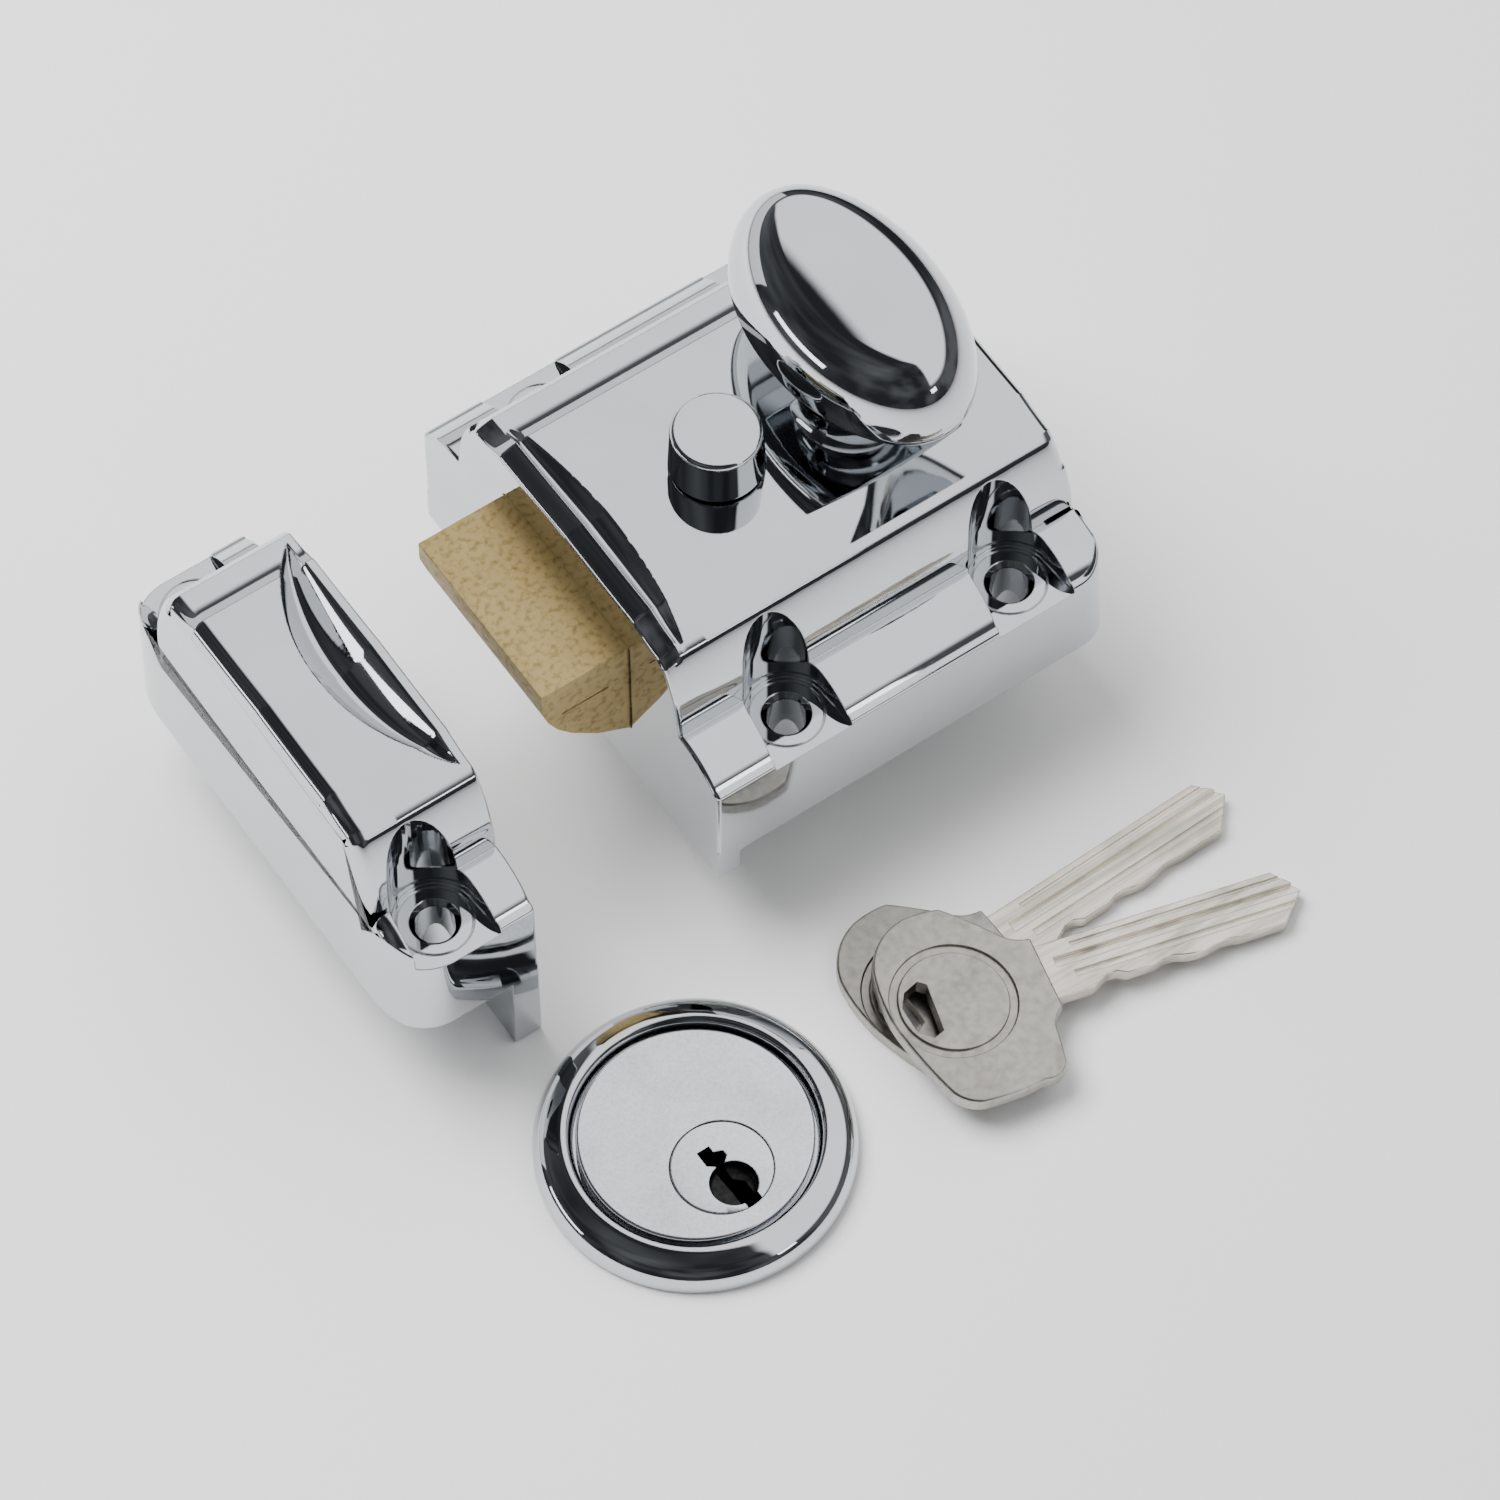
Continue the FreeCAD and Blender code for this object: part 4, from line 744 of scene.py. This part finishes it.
def make_plug():
    low, high = box_mm("plug")
    x, y = PLUG_AXIS.x, PLUG_AXIS.y
    face = high.z
    profile = [(0, face), (6.35, face), (6.55, face - 0.08), (6.6, face - 0.3),
               (6.6, low.z + 5.6), (5.4, low.z + 5.6), (5.4, low.z + 4.4), (6.6, low.z + 4.4),
               (6.6, low.z), (0, low.z)]
    plug = lathe("plug_turned", profile, (x, y), "satin_face", 96)
    # The dish, keyway, bar slot and pin bores are cut with keyway_dark, so their walls take
    # near-black painted shade instead of the plug's satin face
    dish = [(0, face - 1.6)] + arc(2.4, face - 0.9, 0.7, -90, 0, 5) + [(3.2, face + 1),
                                                                      (0, face + 1)]
    tools = [lathe("dish", dish, (x, y - 2.7), "keyway_dark", 64)]
    way = [(x - 0.45, y - 7.5), (x + 1.75, y - 7.5), (x + 1.75, y - 2.6), (x + 0.6, y - 1.4),
           (x + 0.6, y + 0.3), (x + 1.5, y + 1.1), (x + 1.5, y + 1.9), (x + 0.3, y + 2.4),
           (x + 0.3, y + 3.4), (x - 1.5, y + 3.4), (x - 1.5, y + 1.2), (x - 0.6, y + 0.5),
           (x - 0.6, y - 0.9), (x - 0.45, y - 3)]
    tools.append(prism("keyway", way, face - 27, face + 1, "keyway_dark"))
    tools.append(prism("bar_slot", [(x - 3.05, y - 0.85), (x + 3.05, y - 0.85),
                                    (x + 3.05, y + 0.85), (x - 3.05, y + 0.85)],
                       low.z - 1, low.z + 5, "keyway_dark"))
    tools += [prism("pin_bore", circle(x, FLOOR_Z - 5.2 - 4 * number, 1.5, 32), y + 0.5, y + 8,
                    "keyway_dark", "y") for number in range(5)]
    carve(plug, tools)
    return finish_piece(shade(plug), "cylinder_plug", "satin_face", "plug")


# ---------------------------------------------------------------- keys
KEY_THICK = 2.4
PIN_CUTS = (1.2, 0.55, 0.93, 0.28, 0.77)


def bow_outline():
    points = [(-8.6, -1)]
    for end, radius, steps in (((-8.2, 7.4), -24, 8), ((-1.5, 13.6), -9, 14), ((3.5, 13.4), -14, 5),
                               ((9.6, 7), -60, 8), ((13, 5.4), 5, 5), ((13, -5.4), None, 1),
                               ((11, -8), 4, 5), ((10.2, -13.2), -40, 5), ((6.6, -14.6), -3, 6),
                               ((-2, -15), -30, 5), ((-5.4, -12.4), -5, 6), ((-8.6, -1), -60, 8)):
        if radius is None:
            points.append(end)
        else:
            points += bow_between(points[-1], end, -radius, steps)
    return points[:-1]


def blade_outline():
    points = [(12.5, 4.1), (12.5, -4.1), (18, -4.1)]
    for number, rise in enumerate(PIN_CUTS):
        middle = 21 + 4 * number
        points += [(middle - 0.7, -4.1 + rise), (middle + 0.7, -4.1 + rise), (middle + 2, -3.6)]
    return points + [(45.5, -3.6), (49.5, 0.6), (46.5, 4.1)]


def make_key(node, body, turn, tilt):
    """Flat key: grained bow with a raised disc and ring groove, fluted and cut blade."""
    bow = prism(node + "_turned", bow_outline(), 0, KEY_THICK, "key_bow")
    apply_modifier(bow, "BEVEL", width=0.00035, segments=3, limit_method="ANGLE",
                   angle_limit=math.radians(40))
    blade = prism("blade", blade_outline(), 0.15, 2.25, "key_blade")
    apply_modifier(blade, "BEVEL", width=0.00012, segments=1, limit_method="ANGLE",
                   angle_limit=math.radians(50))
    carve(bow, [blade], "UNION")
    groove = lathe("groove", [(7.3, KEY_THICK - 0.35), (8.3, KEY_THICK - 0.35),
                              (8.6, KEY_THICK + 0.5), (7.0, KEY_THICK + 0.5),
                              (7.3, KEY_THICK - 0.35)], (0, 0), "key_bow", 72)
    bmesh_weld(groove)
    ring_hole = prism("ring_hole", [(-6.7, 1.2), (-5.6, 3.2), (-3.4, 4.2), (-2.4, 3.4),
                                    (-2.9, -3.6), (-4.4, -4.2), (-6.2, -2.6)], -1, 4, "key_bow")
    flutes = [prism("flute", [(14.6, 0.2), (52, 0.2), (52, 1.7), (14.6, 1.7)], 1.45, 4,
                    "key_blade"),
              prism("flute", [(16.5, -1.9), (52, -1.9), (52, -0.9), (16.5, -0.9)], 1.8, 4,
                    "key_blade"),
              prism("flute", [(17.5, 2.7), (52, 2.7), (52, 3.2), (17.5, 3.2)], 1.9, 4,
                    "key_blade")]
    carve(bow, [groove, ring_hole] + flutes)
    bow.data.transform(Matrix.Rotation(math.radians(turn), 4, "Z")
                       @ Matrix.Rotation(math.radians(tilt), 4, "Y"))
    low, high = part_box(node)
    spans = [[vertex.co[axis] for vertex in bow.data.vertices] for axis in range(3)]
    fit = min((high[axis] - low[axis]) / (max(span) - min(span)) for axis, span in enumerate(spans))
    fit = min(fit, 1)
    bow.data.transform(Matrix.Scale(fit, 4))
    for axis, span in enumerate(spans):
        bow.location[axis] = (low[axis] + high[axis] - fit * (min(span) + max(span))) / 2
    shade(bow)
    return finish_piece(bow, body, node + "_nickel", node)


# ---------------------------------------------------------------- looks of the CAD nodes
def finish_nodes():
    slots = {entry["node"]: entry["material_slot"] for entry in frame["record"]["subparts"]}
    for node, item in frame["nodes"].items():
        look = LOOKS.get(slots[node], LOOKS["key_bow"])
        for index in range(len(item.material_slots)):
            item.material_slots[index].material = look
        if not item.material_slots:
            item.data.materials.append(look)


# ---------------------------------------------------------------- studio
def softbox(name, place, target, wide, high, power, mirrored=True):
    lamp = bpy.data.lights.new(name, "AREA")
    lamp.shape = "RECTANGLE"
    lamp.size, lamp.size_y, lamp.energy = wide, high, power
    item = bpy.data.objects.new(name, lamp)
    item.location = place
    item.rotation_euler = (Vector(target) - Vector(place)).to_track_quat("-Z", "Y").to_euler()
    item.visible_glossy = mirrored
    item.visible_camera = False
    bpy.context.scene.collection.objects.link(item)
    return item


WELL_RADIUS = 15.4


def make_floor():
    """Pale disc with a well, hidden by the ring, that the cylinder's barrel stands in."""
    floor = prism("studio_floor", circle(0, 0, 3000, 96), FLOOR_Z - 20, FLOOR_Z - 0.06,
                  "satin_face")
    ring_low, ring_high = box_mm("rim_ring")
    well = circle((ring_low.x + ring_high.x) / 2, (ring_low.y + ring_high.y) / 2, WELL_RADIUS)
    carve(floor, [prism("well", well, FLOOR_Z - 30, FLOOR_Z + 5, "satin_face")])
    nodes = Nodes("pale_floor")
    grain = nodes.noise(6, 3)
    nodes.link(nodes.ramp(grain, 0.86, 0.9), nodes.shader.inputs["Base Color"])
    nodes.shader.inputs["Roughness"].default_value = 0.9
    nodes.shader.inputs["Specular IOR Level"].default_value = 0.1
    floor.data.materials[0] = nodes.material


SKY_DARK = (0.035, 0.037, 0.04)
SKY_DIM = (0.16, 0.165, 0.17)
SKY_BRIGHT = (1.75, 1.75, 1.77)
SKY_SIDE = (0.13, 0.205)
SKY_RISE = (0.42, 0.54)


def make_world():
    """Dim room with one large soft window high on the right."""
    world = bpy.data.worlds.new("studio")
    world.use_nodes = True
    bpy.context.scene.world = world
    tree = world.node_tree
    coordinates = tree.nodes.new("ShaderNodeTexCoord")
    split = tree.nodes.new("ShaderNodeSeparateXYZ")
    tree.links.new(coordinates.outputs["Generated"], split.inputs["Vector"])
    window = tree.nodes.new("ShaderNodeMath")
    window.operation = "MULTIPLY"
    for index, (axis, (start, end)) in enumerate((("X", SKY_SIDE), ("Z", SKY_RISE))):
        edge = tree.nodes.new("ShaderNodeMapRange")
        edge.interpolation_type = "SMOOTHSTEP"
        edge.inputs["From Min"].default_value = start
        edge.inputs["From Max"].default_value = end
        tree.links.new(split.outputs[axis], edge.inputs["Value"])
        tree.links.new(edge.outputs["Result"], window.inputs[index])
    mix = tree.nodes.new("ShaderNodeMix")
    mix.data_type = "RGBA"
    tree.links.new(window.outputs["Value"], mix.inputs[0])
    clouds = tree.nodes.new("ShaderNodeTexNoise")
    clouds.inputs["Scale"].default_value = 1.7
    tree.links.new(coordinates.outputs["Generated"], clouds.inputs["Vector"])
    shades = tree.nodes.new("ShaderNodeValToRGB")
    shades.color_ramp.elements[0].position = 0.4
    shades.color_ramp.elements[0].color = (*SKY_DARK, 1)
    shades.color_ramp.elements[1].position = 0.68
    shades.color_ramp.elements[1].color = (*SKY_DIM, 1)
    tree.links.new(clouds.outputs["Fac"], shades.inputs["Fac"])
    tree.links.new(shades.outputs["Color"], mix.inputs[6])
    mix.inputs[7].default_value = (*SKY_BRIGHT, 1)
    back = tree.nodes["Background"]
    tree.links.new(mix.outputs[2], back.inputs["Color"])
    back.inputs["Strength"].default_value = 1.0


AZIMUTH = -34.65
ELEVATION = 58.86
DISTANCE = 0.8806
TARGET = Vector((12.83, -22.23, 0)) * MM
LENS = 164.6


def make_camera():
    camera = bpy.data.cameras.new("view")
    camera.lens, camera.sensor_width = LENS, 36
    camera.clip_start, camera.clip_end = 0.01, 20
    item = bpy.data.objects.new("view", camera)
    flat = math.cos(math.radians(ELEVATION))
    back = Vector((math.sin(math.radians(AZIMUTH)) * flat,
                   -math.cos(math.radians(AZIMUTH)) * flat, math.sin(math.radians(ELEVATION))))
    item.location = TARGET + back * DISTANCE
    item.rotation_euler = back.to_track_quat("Z", "Y").to_euler()
    bpy.context.scene.collection.objects.link(item)
    bpy.context.scene.camera = item


finish_nodes()
make_case()
make_staple()
make_knob()
make_snib()
make_bolt()
make_ring()
make_cylinder()
make_plug()
make_key("key_lower", "key_a", 1.7, 0)
make_key("key_upper", "key_b", -12.7, 4.25)
make_floor()
make_world()
softbox("floor_light", (-0.2, 0.35, 0.75), (0.0, 0.0, 0), 0.6, 0.6, 15, mirrored=False)
softbox("near_window", (0.25, -0.9, 0.35), (0.0, -0.02, 0), 0.18, 0.12, 0.3)
softbox("left_strip", (-0.9, 0.35, 0.25), (0.0, 0.0, 0), 0.5, 0.12, 0.8)
softbox("behind", (-0.2, 1.2, 0.28), (0.0, 0.0, 0), 1.6, 0.5, 3)
make_camera()
